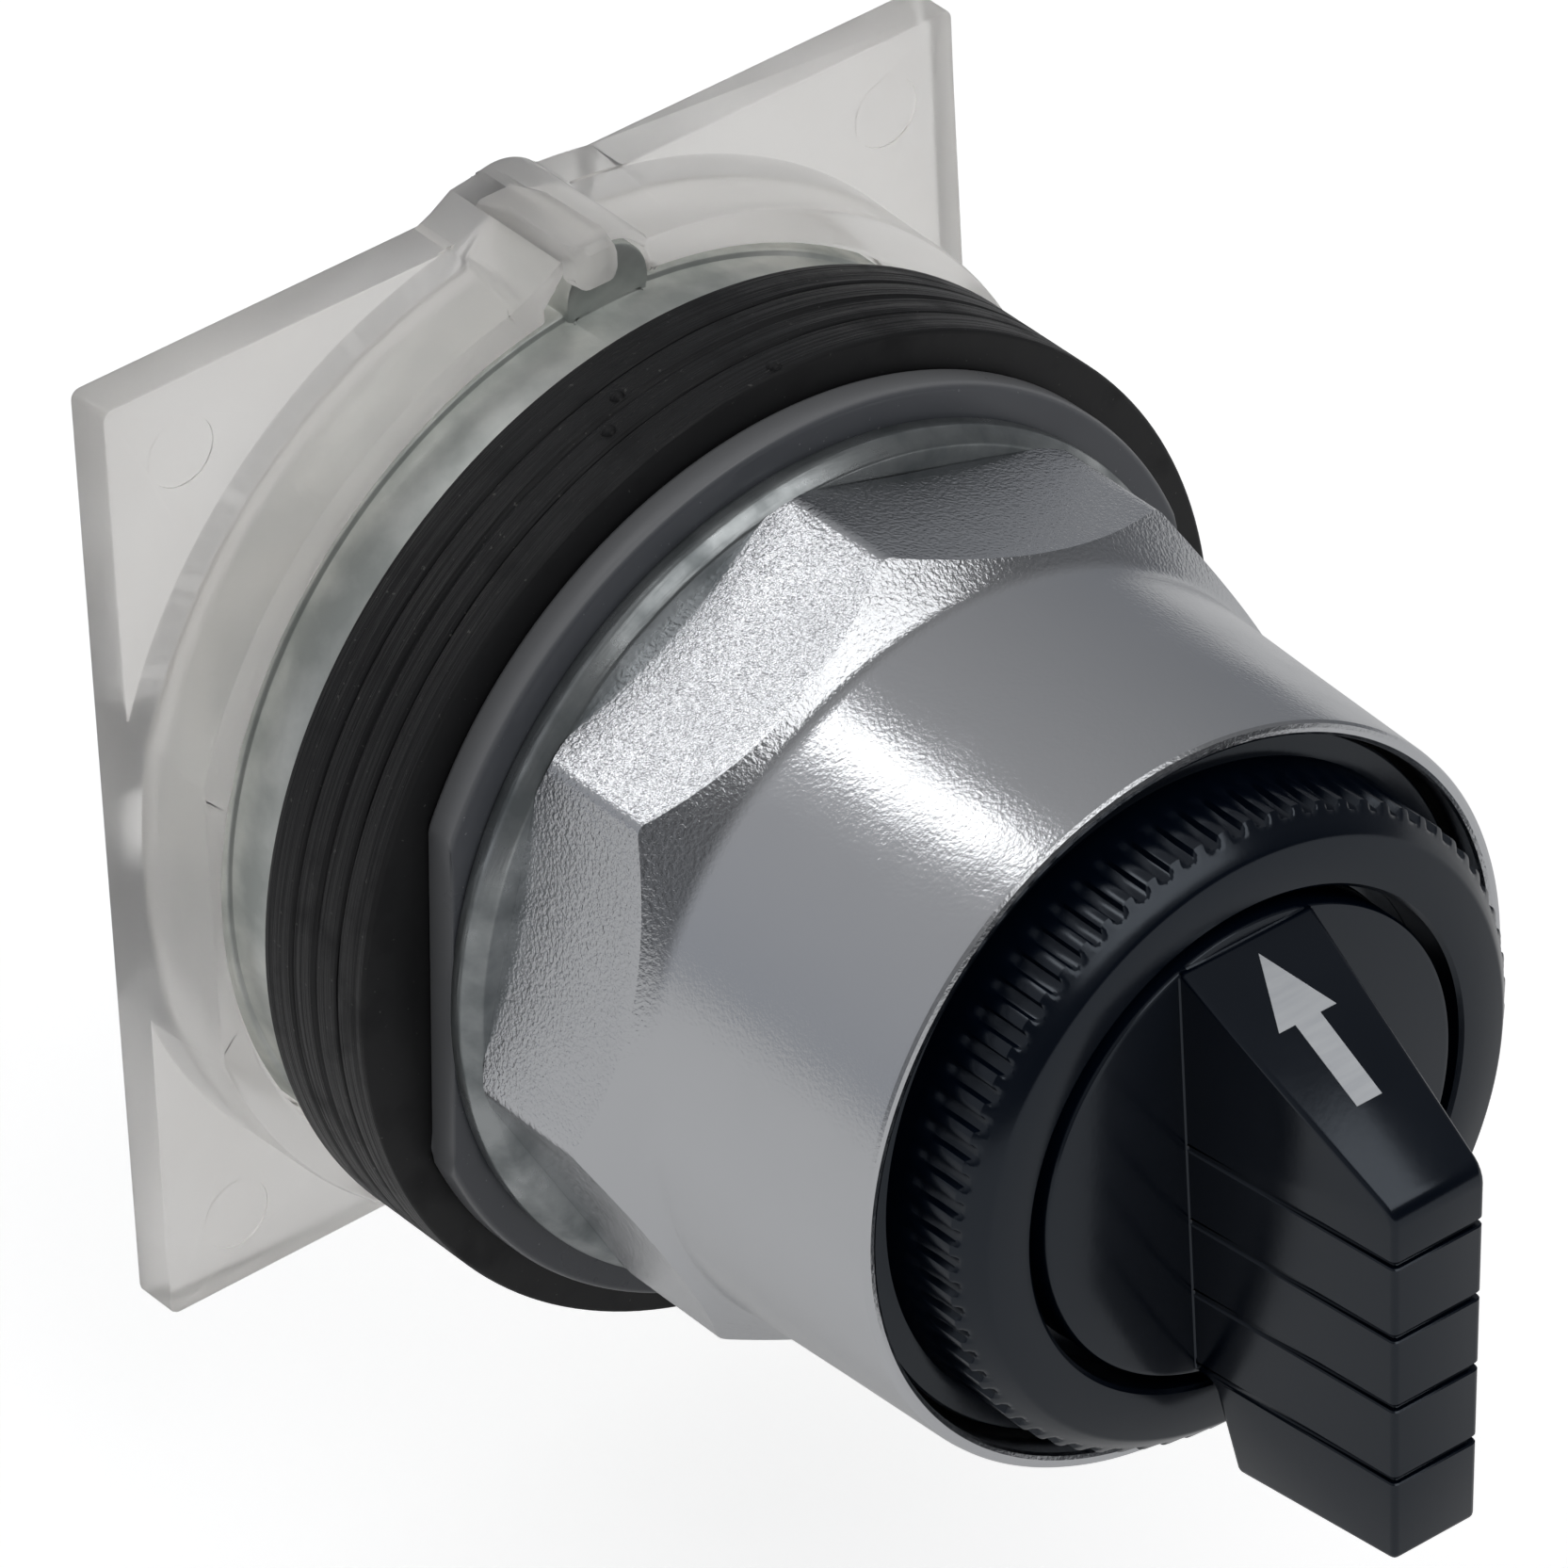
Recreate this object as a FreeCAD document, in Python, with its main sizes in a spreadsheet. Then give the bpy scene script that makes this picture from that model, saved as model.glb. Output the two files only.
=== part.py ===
import FreeCAD, Part
import Sketcher
import math
import os
import re

# Selector switch for a round panel hole.
# The axis of the switch is Y. The knob looks towards -Y, +X is the right side
# and +Z is up. The origin lies on the axis, at the plane where the panel is
# clamped: the front of the gaskets and the back of the gray washer.

V = FreeCAD.Vector
doc = FreeCAD.newDocument("selector_switch")
sheet = doc.addObject("Spreadsheet::Sheet", "Params")

# Sizes in millimetres and degrees. A formula derives a size from the others.
SIZES = [
    # running and seating clearances
    ("run_clear", "0.05"),
    ("seat_clear", "0.05"),
    ("slip_clear", "0.15"),
    # gaskets, from the clamping plane to the rear
    ("gasket_r", "21.9"),
    ("gasket_front_t", "1.75"),
    ("gasket_middle_t", "2.85"),
    ("gasket_rear_t", "1.85"),
    ("gasket_round", "0.42"),
    ("gasket_bead", "0.3"),
    # body casting
    ("barrel_r", "14.95"),
    ("barrel_chamfer", "0.3"),
    ("flange_y", "=gasket_front_t + gasket_middle_t + gasket_rear_t"),
    ("rim_r", "20.35"),
    ("rim_len", "4.0"),
    ("lip_r", "20.65"),
    ("flange_len", "8.65"),
    ("rear_y", "=flange_y + flange_len"),
    ("barrel_front_y", "-14.2"),
    ("neck_r", "12.5"),
    ("neck_front_y", "-22.0"),
    ("hub_r", "8.0"),
    ("hub_rear_y", "-16.5"),
    ("web_front_y", "-16.0"),
    ("web_rear_y", "-10.0"),
    ("shaft_r", "4.0"),
    ("cavity_r", "12.0"),
    ("lug_r", "2.05"),
    ("keyway_half", "2.5"),
    ("keyway_depth", "1.0"),
    ("stop_slot_in", "5.3"),
    ("stop_slot_out", "8.9"),
    ("stop_slot_depth", "1.5"),
    ("turn_limit", "45"),
    ("stop_lug_half_angle", "15"),
    ("stop_slack", "0.4"),
    ("stop_slot_angle", "=2 * (turn_limit + stop_lug_half_angle + stop_slack)"),
    ("leaf_slot_gap", "0.08"),
    # rear cover
    ("cover_r", "12.95"),
    ("cover_t", "1.6"),
    ("cover_recess_r", "5.0"),
    ("cover_recess_depth", "0.5"),
    # fixings at the rear
    ("hole_circle_r", "16.9"),
    ("contact_hole_r", "1.45"),
    ("contact_hole_depth", "6.1"),
    ("contact_clear_r", "1.9"),
    ("screw_r", "1.45"),
    ("screw_hole_depth", "6.0"),
    ("screw_len", "5.5"),
    ("screw_head_r", "2.8"),
    ("screw_head_t", "1.35"),
    ("screw_clear_r", "1.7"),
    ("screw_sunk", "0.1"),
    ("cross_len", "3.2"),
    ("cross_w", "0.7"),
    ("cross_depth", "0.9"),
    # clear backing plate
    ("plate_w", "43.2"),
    ("plate_h", "44.7"),
    ("plate_t", "2.2"),
    ("plate_round", "0.4"),
    ("plate_disc_r", "22.8"),
    ("collar_r", "22.75"),
    ("collar_front_r", "22.65"),
    ("collar_h", "4.95"),
    ("collar_gap", "0.35"),
    ("collar_round", "0.3"),
    ("boss_wall", "0.45"),
    ("boss_r", "=lug_r + slip_clear + boss_wall"),
    ("boss_x", "-0.3"),
    ("boss_z", "21.0"),
    ("flank_x", "-5.0"),
    ("flank_z", "22.0"),
    ("gap_x", "-3.45"),
    ("gap_z", "21.45"),
    ("gap_peak_x", "-2.0"),
    ("gap_peak_z", "23.1"),
    ("finger_left", "-2.5"),
    ("finger_w", "2.0"),
    ("finger_top", "24.2"),
    ("finger_t", "0.9"),
    ("finger_round", "0.6"),
    ("hook_len", "1.4"),
    ("hook_bottom", "22.2"),
    ("opening_r", "11.9"),
    ("ejector_r", "1.6"),
    ("ejector_x", "18.0"),
    ("ejector_z", "18.9"),
    ("ejector_depth", "0.08"),
    # washers in front of the panel
    ("trim_r", "20.28"),
    ("trim_t", "1.6"),
    ("trim_flat", "18.6"),
    ("trim_turn", "2.9"),
    ("trim_chamfer", "0.2"),
    ("tongue_half", "1.6"),
    ("tongue_in", "14.1"),
    ("clampw_r", "18.9"),
    ("clampw_t", "1.5"),
    ("clampw_bevel", "0.55"),
    # ring nut
    ("nut_corner_r", "18.83"),
    ("nut_af", "34.8"),
    ("nut_flat_half", "=nut_af / 2 * (sqrt(2) - 1)"),
    ("nut_turn", "16.5"),
    ("nut_rear_y", "=0 - trim_t - clampw_t"),
    ("nut_base_len", "5.85"),
    ("nut_cone_len", "2.3"),
    ("nut_sleeve_r", "16.8"),
    ("nut_mouth_r", "16.35"),
    ("nut_front_y", "-24.35"),
    ("nut_lip_round", "0.3"),
    ("nut_mouth_bore_r", "15.67"),
    ("nut_bore_r", "15.45"),
    ("nut_thread_len", "10.4"),
    ("nut_chamfer", "0.35"),
    # bezel
    ("bezel_r", "14.25"),
    ("bezel_skirt_r", "13.9"),
    ("bezel_rear_y", "-15.0"),
    ("bezel_skirt_y", "-23.2"),
    ("bezel_bevel_y", "-26.85"),
    ("bezel_face_y", "-27.95"),
    ("bezel_face_r", "13.2"),
    ("bezel_mouth_r", "10.98"),
    ("bezel_lip_y", "-25.6"),
    ("flute_count", "72"),
    ("flute_r", "0.42"),
    ("flute_depth", "0.5"),
    ("flute_rear_y", "-24.45"),
    # knob
    ("disc_r", "10.35"),
    ("disc_y", "-28.05"),
    ("disc_round", "0.2"),
    ("knob_flange_r", "11.9"),
    ("knob_flange_y", "-24.0"),
    ("blade_half", "3.2"),
    ("blade_draft_y", "0.083"),
    ("blade_draft_z", "0.016"),
    ("blade_tip_y", "-40.2"),
    ("ramp_top_z", "9.9"),
    ("front_top_z", "3.86"),
    ("front_top_y", "-39.35"),
    ("front_low_z", "-13.45"),
    ("front_low_y", "-38.7"),
    ("under_rear_y", "-30.1"),
    ("under_rear_z", "-13.7"),
    ("under_step_y", "-28.95"),
    ("under_step_z", "-9.9"),
    ("grip_groove_w", "0.5"),
    ("grip_groove_depth", "0.4"),
    ("grip_groove_run_out", "0.1"),
    ("grip_first_z", "1.4"),
    ("grip_pitch", "3.62"),
    ("blade_edge_round", "0.3"),
    ("blade_nose_round", "0.7"),
    ("arrow_depth", "0.25"),
    ("arrow_proud", "0.03"),
    ("arrow_start", "0.85"),
    ("arrow_head_len", "3.25"),
    ("arrow_head_half", "1.45"),
    ("arrow_shaft_half", "0.63"),
    ("arrow_len", "7.3"),
    ("arrow_clear", "0.02"),
    # spindle and seals
    ("square_half", "2.5"),
    ("square_clear", "0.05"),
    ("spindle_front_y", "-24.3"),
    ("spindle_rear_y", "2.0"),
    ("socket_front_y", "-24.5"),
    ("seal_y", "-13.2"),
    ("seal_ring_r", "3.5"),
    ("seal_wire_r", "0.54"),
    ("seal_groove_r", "2.9"),
    ("seal_groove_w", "1.7"),
    ("cam_screw_r", "1.45"),
    ("cam_screw_hole_r", "1.5"),
    ("cam_screw_len", "8.0"),
    ("cam_screw_hole_len", "8.5"),
    ("cam_screw_head_r", "2.8"),
    ("cam_screw_head_t", "1.8"),
    ("knob_seal_in", "8.3"),
    ("knob_seal_out", "11.6"),
    # cam
    ("cam_r", "11.6"),
    ("cam_hub_r", "4.6"),
    ("cam_front_y", "-9.8"),
    ("cam_disc_front_y", "-5.2"),
    ("cam_ramp_root", "4.1"),
    ("cam_low_y", "-1.0"),
    ("cam_lead", "12.0"),
    ("cam_sector", "120"),
    ("cam_high_y", "=cam_low_y + cam_lead * cam_sector / 360"),
    ("cam_mid_y", "=(cam_low_y + cam_high_y) / 2"),
    ("ramp_start_angle", "=cam_sector / 2"),
    ("star_r", "9.0"),
    ("notch_count", "8"),
    ("star_notch_r", "1.3"),
    ("star_notch_centre", "9.4"),
    ("stop_lug_in", "5.6"),
    ("stop_lug_out", "8.6"),
    ("stop_lug_y", "-11.2"),
    # detent springs
    ("leaf_w", "4.0"),
    ("leaf_mid_y", "-7.55"),
    ("leaf_nose_z", "8.25"),
    ("leaf_nose_half", "0.45"),
    ("leaf_nose_root", "1.5"),
    ("leaf_t", "0.35"),
    ("leaf_arm_z", "9.75"),
    ("leaf_arm_x", "7.2"),
    # push rods and their springs
    ("rod_x", "8.0"),
    ("rod_r", "2.0"),
    ("rod_gap", "0.06"),
    ("rod_edge_half", "0.1"),
    ("rod_wedge_len", "1.1"),
    ("rod_collar_y", "4.2"),
    ("rod_collar_t", "1.0"),
    ("rod_collar_r", "3.2"),
    ("rod_rear_y", "15.7"),
    ("rod_tip_chamfer", "0.3"),
    ("coil_r", "2.72"),
    ("coil_wire_r", "0.28"),
    ("coil_turns", "5"),
    ("coil_end_gap", "0.32"),
]
for i, (name, text) in enumerate(SIZES):
    row = str(i + 1)
    sheet.set("A" + row, name)
    sheet.set("B" + row, text)
    sheet.setAlias("B" + row, name)
doc.recompute()
values = {name: float(sheet.get(name)) for name, text in SIZES}


def num(text):
    """The number that a sum of products of sizes stands for."""
    total = 0.0
    for sign, term in re.findall(r"([+-]?)([^+\-]+)", text.replace(" ", "")):
        product = 1.0
        for op, factor in re.findall(r"([*/]?)([A-Za-z_0-9.]+)", term):
            f = float(factor) if factor[0].isdigit() else values[factor]
            product = product / f if op == "/" else product * f
        total += -product if sign == "-" else product
    return total


def bound(text):
    """The same sum, written for the document's expression engine."""
    return re.sub(r"[A-Za-z_]\w*", lambda m: "Params." + m.group(0), text)


def tie(obj, prop, text):
    obj.setExpression(prop, bound(text))


def origin_item(body, role):
    for item in body.Origin.OriginFeatures:
        if item.Role == role:
            return item
    raise ValueError(role)


def new_body(name):
    body = doc.addObject("PartDesign::Body", name)
    body.Label = name
    return body


def new_sketch(body, name, plane, offset=None, turn=None, axis=V(0, 1, 0)):
    """A sketch on one of the body's origin planes, moved along its normal."""
    sk = body.newObject("Sketcher::SketchObject", name)
    sk.AttachmentSupport = [(origin_item(body, plane), "")]
    sk.MapMode = "FlatFace"
    if turn is not None:
        sk.AttachmentOffset = FreeCAD.Placement(V(0, 0, 0), FreeCAD.Rotation(axis, num(turn)))
        sk.setExpression("AttachmentOffset.Rotation.Angle", "(" + bound(turn) + ") * 1 deg")
    if offset is not None:
        p = sk.AttachmentOffset
        p.Base = V(0, 0, num(offset))
        sk.AttachmentOffset = p
        tie(sk, "AttachmentOffset.Base.z", offset)
    return sk


def place_point(sk, gid, pos, x, y):
    """Pin one point of a sketch to two sizes, or to an axis where a size is 0."""
    if x == "0":
        sk.addConstraint(Sketcher.Constraint("PointOnObject", gid, pos, -2))
    else:
        c = sk.addConstraint(Sketcher.Constraint("DistanceX", -1, 1, gid, pos, num(x)))
        sk.setExpression("Constraints[%d]" % c, bound(x))
    if y == "0":
        sk.addConstraint(Sketcher.Constraint("PointOnObject", gid, pos, -1))
    else:
        c = sk.addConstraint(Sketcher.Constraint("DistanceY", -1, 1, gid, pos, num(y)))
        sk.setExpression("Constraints[%d]" % c, bound(y))


def polygon(sk, points):
    n = len(points)
    xy = [V(num(x), num(y), 0) for x, y in points]
    ids = [sk.addGeometry(Part.LineSegment(xy[i], xy[(i + 1) % n]), False) for i in range(n)]
    for i in range(n):
        sk.addConstraint(Sketcher.Constraint("Coincident", ids[i], 2, ids[(i + 1) % n], 1))
    for i, (x, y) in enumerate(points):
        place_point(sk, ids[i], 1, x, y)
    return ids


def circle(sk, x, y, r):
    g = sk.addGeometry(Part.Circle(V(num(x), num(y), 0), V(0, 0, 1), num(r)), False)
    place_point(sk, g, 3, x, y)
    c = sk.addConstraint(Sketcher.Constraint("Radius", g, num(r)))
    sk.setExpression("Constraints[%d]" % c, bound(r))
    return g


def revolve(body, name, points):
    """A turned solid: the profile's x is the radius and its y the station."""
    sk = new_sketch(body, name + "_profile", "XY_Plane")
    polygon(sk, points)
    rev = body.newObject("PartDesign::Revolution", name)
    rev.Profile = sk
    rev.ReferenceAxis = (sk, ["V_Axis"])
    rev.Angle = 360
    body.Tip = rev
    return rev


def pad(body, name, sk, length, reverse=False, midplane=False):
    f = body.newObject("PartDesign::Pad", name)
    f.Profile = sk
    tie(f, "Length", length)
    f.Reversed = reverse
    f.Midplane = midplane
    body.Tip = f
    return f


def pocket(body, name, sk, length=None, reverse=False, midplane=False):
    f = body.newObject("PartDesign::Pocket", name)
    f.Profile = sk
    if length is None:
        f.Type = "ThroughAll"
    else:
        tie(f, "Length", length)
    f.Reversed = reverse
    f.Midplane = midplane
    body.Tip = f
    return f


def round_edges(body, name, radius, test):
    """Fillet those edges of the body that the test picks by their place."""
    doc.recompute()
    base = body.Tip
    names = ["Edge%d" % (i + 1) for i, e in enumerate(base.Shape.Edges) if test(e)]
    if not names:
        raise ValueError("no edge for " + name)
    f = body.newObject("PartDesign::Fillet", name)
    f.Base = (base, names)
    tie(f, "Radius", radius)
    body.Tip = f
    return f


def circle_edge(e, y, r):
    """Whether an edge is a circle about the axis at this station and radius."""
    c = e.Curve
    return (
        isinstance(c, Part.Circle)
        and abs(c.Center.y - y) < 1e-3
        and abs(c.Radius - r) < 1e-3
        and math.hypot(c.Center.x, c.Center.z) < 1e-3
    )


# Backing plate: a clear square plate with a round collar around the body's
# flange. A circle a little larger than the plate is cut flush at both sides.
# At the top a boss arches over the body's lug, with a gap at the lug's left,
# and a snap finger runs forward over it and hooks over the lug's face.
plate = new_body("backing_plate")
sk = new_sketch(plate, "plate_outline", "XZ_Plane", "0 - rear_y - plate_t")
polygon(sk, [
    ("plate_w/2", "0 - plate_h/2"), ("plate_w/2", "plate_h/2"),
    ("0 - plate_w/2", "plate_h/2"), ("0 - plate_w/2", "0 - plate_h/2"),
])
pad(plate, "plate_slab", sk, "plate_t")
round_edges(plate, "plate_corners", "plate_round", lambda e: abs(e.Length - num("plate_t")) < 1e-3)
sk = new_sketch(plate, "plate_disc_outline", "XZ_Plane", "0 - rear_y - plate_t")
circle(sk, "0", "0", "plate_disc_r")
pad(plate, "plate_disc", sk, "plate_t")
sk = new_sketch(plate, "boss_outline", "XZ_Plane", "0 - rear_y - plate_t")
circle(sk, "boss_x", "boss_z", "boss_r")
pad(plate, "plate_boss", sk, "plate_t + collar_h")
sk = new_sketch(plate, "flank_outline", "XZ_Plane", "0 - rear_y - plate_t")
polygon(sk, [
    ("flank_x", "boss_z"), ("flank_x", "flank_z"), ("gap_peak_x + 0.3", "gap_peak_z + 0.2"),
    ("gap_peak_x + 0.3", "boss_z"),
])
pad(plate, "boss_flank", sk, "plate_t + collar_h")
sk = new_sketch(plate, "collar_profile", "XY_Plane")
polygon(sk, [
    ("opening_r", "rear_y + 0.4"), ("collar_r", "rear_y + 0.4"), ("collar_r", "rear_y"),
    ("collar_front_r", "rear_y - collar_h + collar_round"),
    ("collar_front_r - collar_round", "rear_y - collar_h"),
    ("lip_r + collar_gap", "rear_y - collar_h"), ("lip_r + collar_gap", "rear_y"), ("opening_r", "rear_y"),
])
collar = plate.newObject("PartDesign::Revolution", "plate_collar")
collar.Profile = sk
collar.ReferenceAxis = (sk, ["V_Axis"])
collar.Angle = 360
plate.Tip = collar
sk = new_sketch(plate, "flush_cut_outline", "XZ_Plane", "0 - rear_y - plate_t")
polygon(sk, [
    ("plate_w/2", "0 - plate_h"), ("plate_w", "0 - plate_h"), ("plate_w", "plate_h"),
    ("plate_w/2", "plate_h"),
])
polygon(sk, [
    ("0 - plate_w/2", "0 - plate_h"), ("0 - plate_w", "0 - plate_h"), ("0 - plate_w", "plate_h"),
    ("0 - plate_w/2", "plate_h"),
])
pocket(plate, "flush_cut", sk, "plate_t + collar_h + 1", reverse=True)
sk = new_sketch(plate, "flange_room_outline", "XZ_Plane", "0 - rear_y")
circle(sk, "0", "0", "lip_r + collar_gap")
pocket(plate, "flange_room", sk, "collar_h + 1", reverse=True)
sk = new_sketch(plate, "lug_room_outline", "XZ_Plane", "0 - rear_y")
circle(sk, "boss_x", "boss_z", "lug_r + slip_clear")
pocket(plate, "lug_room", sk, "collar_h + 1", reverse=True)
sk = new_sketch(plate, "gap_outline", "XZ_Plane", "0 - rear_y")
polygon(sk, [
    ("gap_x", "boss_z - 0.6"), ("gap_x", "gap_z"), ("gap_peak_x", "gap_peak_z"),
    ("boss_x - 1.3", "boss_z + 1.6"), ("boss_x - 1.5", "boss_z - 0.6"),
])
pocket(plate, "boss_gap", sk, "collar_h + 1", reverse=True)
sk = new_sketch(plate, "finger_side", "YZ_Plane", "finger_left")
polygon(sk, [
    ("rear_y + 0.5", "finger_top - finger_t"), ("rear_y + 0.5", "boss_z + boss_r - 0.1"),
    ("rear_y - 1.6", "finger_top"), ("rear_y - collar_h - hook_len + 0.4", "finger_top"),
    ("rear_y - collar_h - hook_len", "finger_top - 0.6"),
    ("rear_y - collar_h - hook_len", "hook_bottom + 0.7"),
    ("rear_y - collar_h - hook_len + 0.4", "hook_bottom"),
    ("rear_y - collar_h - seat_clear", "hook_bottom + 0.3"),
    ("rear_y - collar_h - seat_clear", "finger_top - finger_t"),
])
pad(plate, "snap_finger", sk, "finger_w")
round_edges(plate, "finger_sides", "finger_round",
    lambda e: e.CenterOfMass.y < num("rear_y - collar_h - hook_len + 0.1")
            and e.BoundBox.XLength < 1e-3)
sk = new_sketch(plate, "opening_outline", "XZ_Plane", "0 - rear_y - plate_t")
circle(sk, "0", "0", "opening_r")
circle(sk, "hole_circle_r", "0", "contact_clear_r")
circle(sk, "0 - hole_circle_r", "0", "contact_clear_r")
circle(sk, "0", "hole_circle_r", "screw_clear_r")
circle(sk, "0", "0 - hole_circle_r", "screw_clear_r")
pocket(plate, "plate_holes", sk, "plate_t + 1", reverse=True)
for side, z in (("top", "hole_circle_r"), ("bottom", "0 - hole_circle_r")):
    cone = plate.newObject("PartDesign::SubtractiveCone", "sunk_" + side)
    cone.AttachmentSupport = [(origin_item(plate, "XZ_Plane"), "")]
    cone.MapMode = "FlatFace"
    cone.AttachmentOffset = FreeCAD.Placement(V(0, num(z), -num("rear_y + plate_t")), FreeCAD.Rotation())
    tie(cone, "AttachmentOffset.Base.y", z)
    tie(cone, "AttachmentOffset.Base.z", "0 - rear_y - plate_t")
    tie(cone, "Radius1", "screw_head_r + slip_clear")
    tie(cone, "Radius2", "screw_clear_r")
    tie(cone, "Height", "screw_head_t")
    plate.Tip = cone
sk = new_sketch(plate, "ejector_marks", "XZ_Plane", "0 - rear_y")
for sx in ("", "0 - "):
    for sz in ("", "0 - "):
        circle(sk, sx + "ejector_x", sz + "ejector_z", "ejector_r")
pocket(plate, "ejector_recess", sk, "ejector_depth")

# Body casting: flange, rim and lip at the rear, then the barrel that goes
# through the panel, and the neck that carries the bezel. It is bored for the
# cam from the rear and for the knob's hub from the front.
casting = new_body("body_casting")
revolve(casting, "body_turned", [
    ("cover_r + run_clear", "rear_y"), ("lip_r - barrel_chamfer", "rear_y"),
    ("lip_r", "rear_y - barrel_chamfer"),
    ("lip_r", "flange_y + rim_len + 0.15"), ("lip_r - 0.15", "flange_y + rim_len"),
    ("rim_r", "flange_y + rim_len"), ("rim_r", "flange_y + barrel_chamfer"),
    ("rim_r - barrel_chamfer", "flange_y"),
    ("barrel_r", "flange_y"), ("barrel_r", "barrel_front_y + barrel_chamfer"),
    ("barrel_r - barrel_chamfer", "barrel_front_y"), ("neck_r", "barrel_front_y"),
    ("neck_r", "neck_front_y + barrel_chamfer"), ("neck_r - barrel_chamfer", "neck_front_y"),
    ("hub_r + run_clear", "neck_front_y"), ("hub_r + run_clear", "web_front_y"),
    ("shaft_r + run_clear", "web_front_y"), ("shaft_r + run_clear", "web_rear_y"),
    ("cavity_r", "web_rear_y"), ("cavity_r", "rear_y - cover_t"),
    ("cover_r + run_clear", "rear_y - cover_t"),
])
sk = new_sketch(casting, "lug_outline", "XZ_Plane", "0 - rear_y + collar_h")
circle(sk, "boss_x", "boss_z", "lug_r")
pad(casting, "lug", sk, "collar_h", reverse=True)
sk = new_sketch(casting, "keyway_outline", "XZ_Plane", "0 - barrel_front_y + 1")
polygon(sk, [
    ("0 - keyway_half", "barrel_r - keyway_depth"), ("keyway_half", "barrel_r - keyway_depth"),
    ("keyway_half", "barrel_r + 1"), ("0 - keyway_half", "barrel_r + 1"),
])
pocket(casting, "keyway", sk, "flange_y - barrel_front_y + 1")
sk = new_sketch(casting, "contact_holes_outline", "XZ_Plane", "0 - rear_y")
circle(sk, "hole_circle_r", "0", "contact_hole_r")
circle(sk, "0 - hole_circle_r", "0", "contact_hole_r")
pocket(casting, "contact_holes", sk, "contact_hole_depth", reverse=True)
sk = new_sketch(casting, "screw_holes_outline", "XZ_Plane", "0 - rear_y")
circle(sk, "0", "hole_circle_r", "screw_r + run_clear")
circle(sk, "0", "0 - hole_circle_r", "screw_r + run_clear")
pocket(casting, "screw_holes", sk, "screw_hole_depth", reverse=True)
sk = new_sketch(casting, "stop_slot_profile", "XY_Plane")
polygon(sk, [
    ("0 - stop_slot_out", "web_rear_y - stop_slot_depth"),
    ("0 - stop_slot_in", "web_rear_y - stop_slot_depth"),
    ("0 - stop_slot_in", "web_rear_y + 0.5"), ("0 - stop_slot_out", "web_rear_y + 0.5"),
])
slot = casting.newObject("PartDesign::Groove", "stop_slot")
slot.Profile = sk
slot.ReferenceAxis = (sk, ["V_Axis"])
slot.setExpression("Angle", "Params.stop_slot_angle * 1 deg")
slot.Midplane = True
casting.Tip = slot
sk = new_sketch(casting, "leaf_slots_outline", "XZ_Plane", "0 - rear_y + cover_t")
polygon(sk, [
    ("0 - leaf_arm_x - leaf_slot_gap", "leaf_arm_z - leaf_slot_gap"),
    ("leaf_arm_x + leaf_slot_gap", "leaf_arm_z - leaf_slot_gap"),
    ("leaf_arm_x + leaf_slot_gap", "leaf_arm_z + leaf_t + leaf_slot_gap"),
    ("0 - leaf_arm_x - leaf_slot_gap", "leaf_arm_z + leaf_t + leaf_slot_gap"),
])
polygon(sk, [
    ("0 - leaf_arm_x - leaf_slot_gap", "0 - leaf_arm_z + leaf_slot_gap"),
    ("leaf_arm_x + leaf_slot_gap", "0 - leaf_arm_z + leaf_slot_gap"),
    ("leaf_arm_x + leaf_slot_gap", "0 - leaf_arm_z - leaf_t - leaf_slot_gap"),
    ("0 - leaf_arm_x - leaf_slot_gap", "0 - leaf_arm_z - leaf_t - leaf_slot_gap"),
])
pocket(casting, "leaf_slots", sk, "rear_y - cover_t - web_rear_y", reverse=True)

# Gaskets: three rubber rings with rounded rims, stacked behind the panel.
# The middle one has a parting bead around its rim.
gasket_rear = new_body("gasket_rear")
revolve(gasket_rear, "gasket_rear_turned", [
    ("barrel_r + slip_clear", "flange_y"), ("gasket_r - gasket_round", "flange_y"),
    ("gasket_r - 0.12", "flange_y - gasket_round / 2"), ("gasket_r", "flange_y - gasket_round"),
    ("gasket_r", "flange_y - gasket_rear_t + gasket_round"),
    ("gasket_r - 0.12", "flange_y - gasket_rear_t + gasket_round / 2"),
    ("gasket_r - gasket_round", "flange_y - gasket_rear_t"),
    ("barrel_r + slip_clear", "flange_y - gasket_rear_t"),
])
gasket_middle = new_body("gasket_middle")
revolve(gasket_middle, "gasket_middle_turned", [
    ("barrel_r + slip_clear", "flange_y - gasket_rear_t"),
    ("gasket_r - gasket_round", "flange_y - gasket_rear_t"),
    ("gasket_r", "flange_y - gasket_rear_t - gasket_round"),
    ("gasket_r", "gasket_front_t + gasket_middle_t / 2 + gasket_bead"),
    ("gasket_r - gasket_bead", "gasket_front_t + gasket_middle_t / 2"),
    ("gasket_r", "gasket_front_t + gasket_middle_t / 2 - gasket_bead"),
    ("gasket_r", "gasket_front_t + gasket_round"), ("gasket_r - gasket_round", "gasket_front_t"),
    ("barrel_r + slip_clear", "gasket_front_t"),
])
gasket_front = new_body("gasket_front")
revolve(gasket_front, "gasket_front_turned", [
    ("barrel_r + slip_clear", "gasket_front_t"), ("gasket_r - gasket_round", "gasket_front_t"),
    ("gasket_r", "gasket_front_t - gasket_round"), ("gasket_r - 0.06", "gasket_round"),
    ("gasket_r - 0.18", "gasket_round / 2"), ("gasket_r - gasket_round", "0"),
    ("barrel_r + slip_clear", "0"),
])

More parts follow.
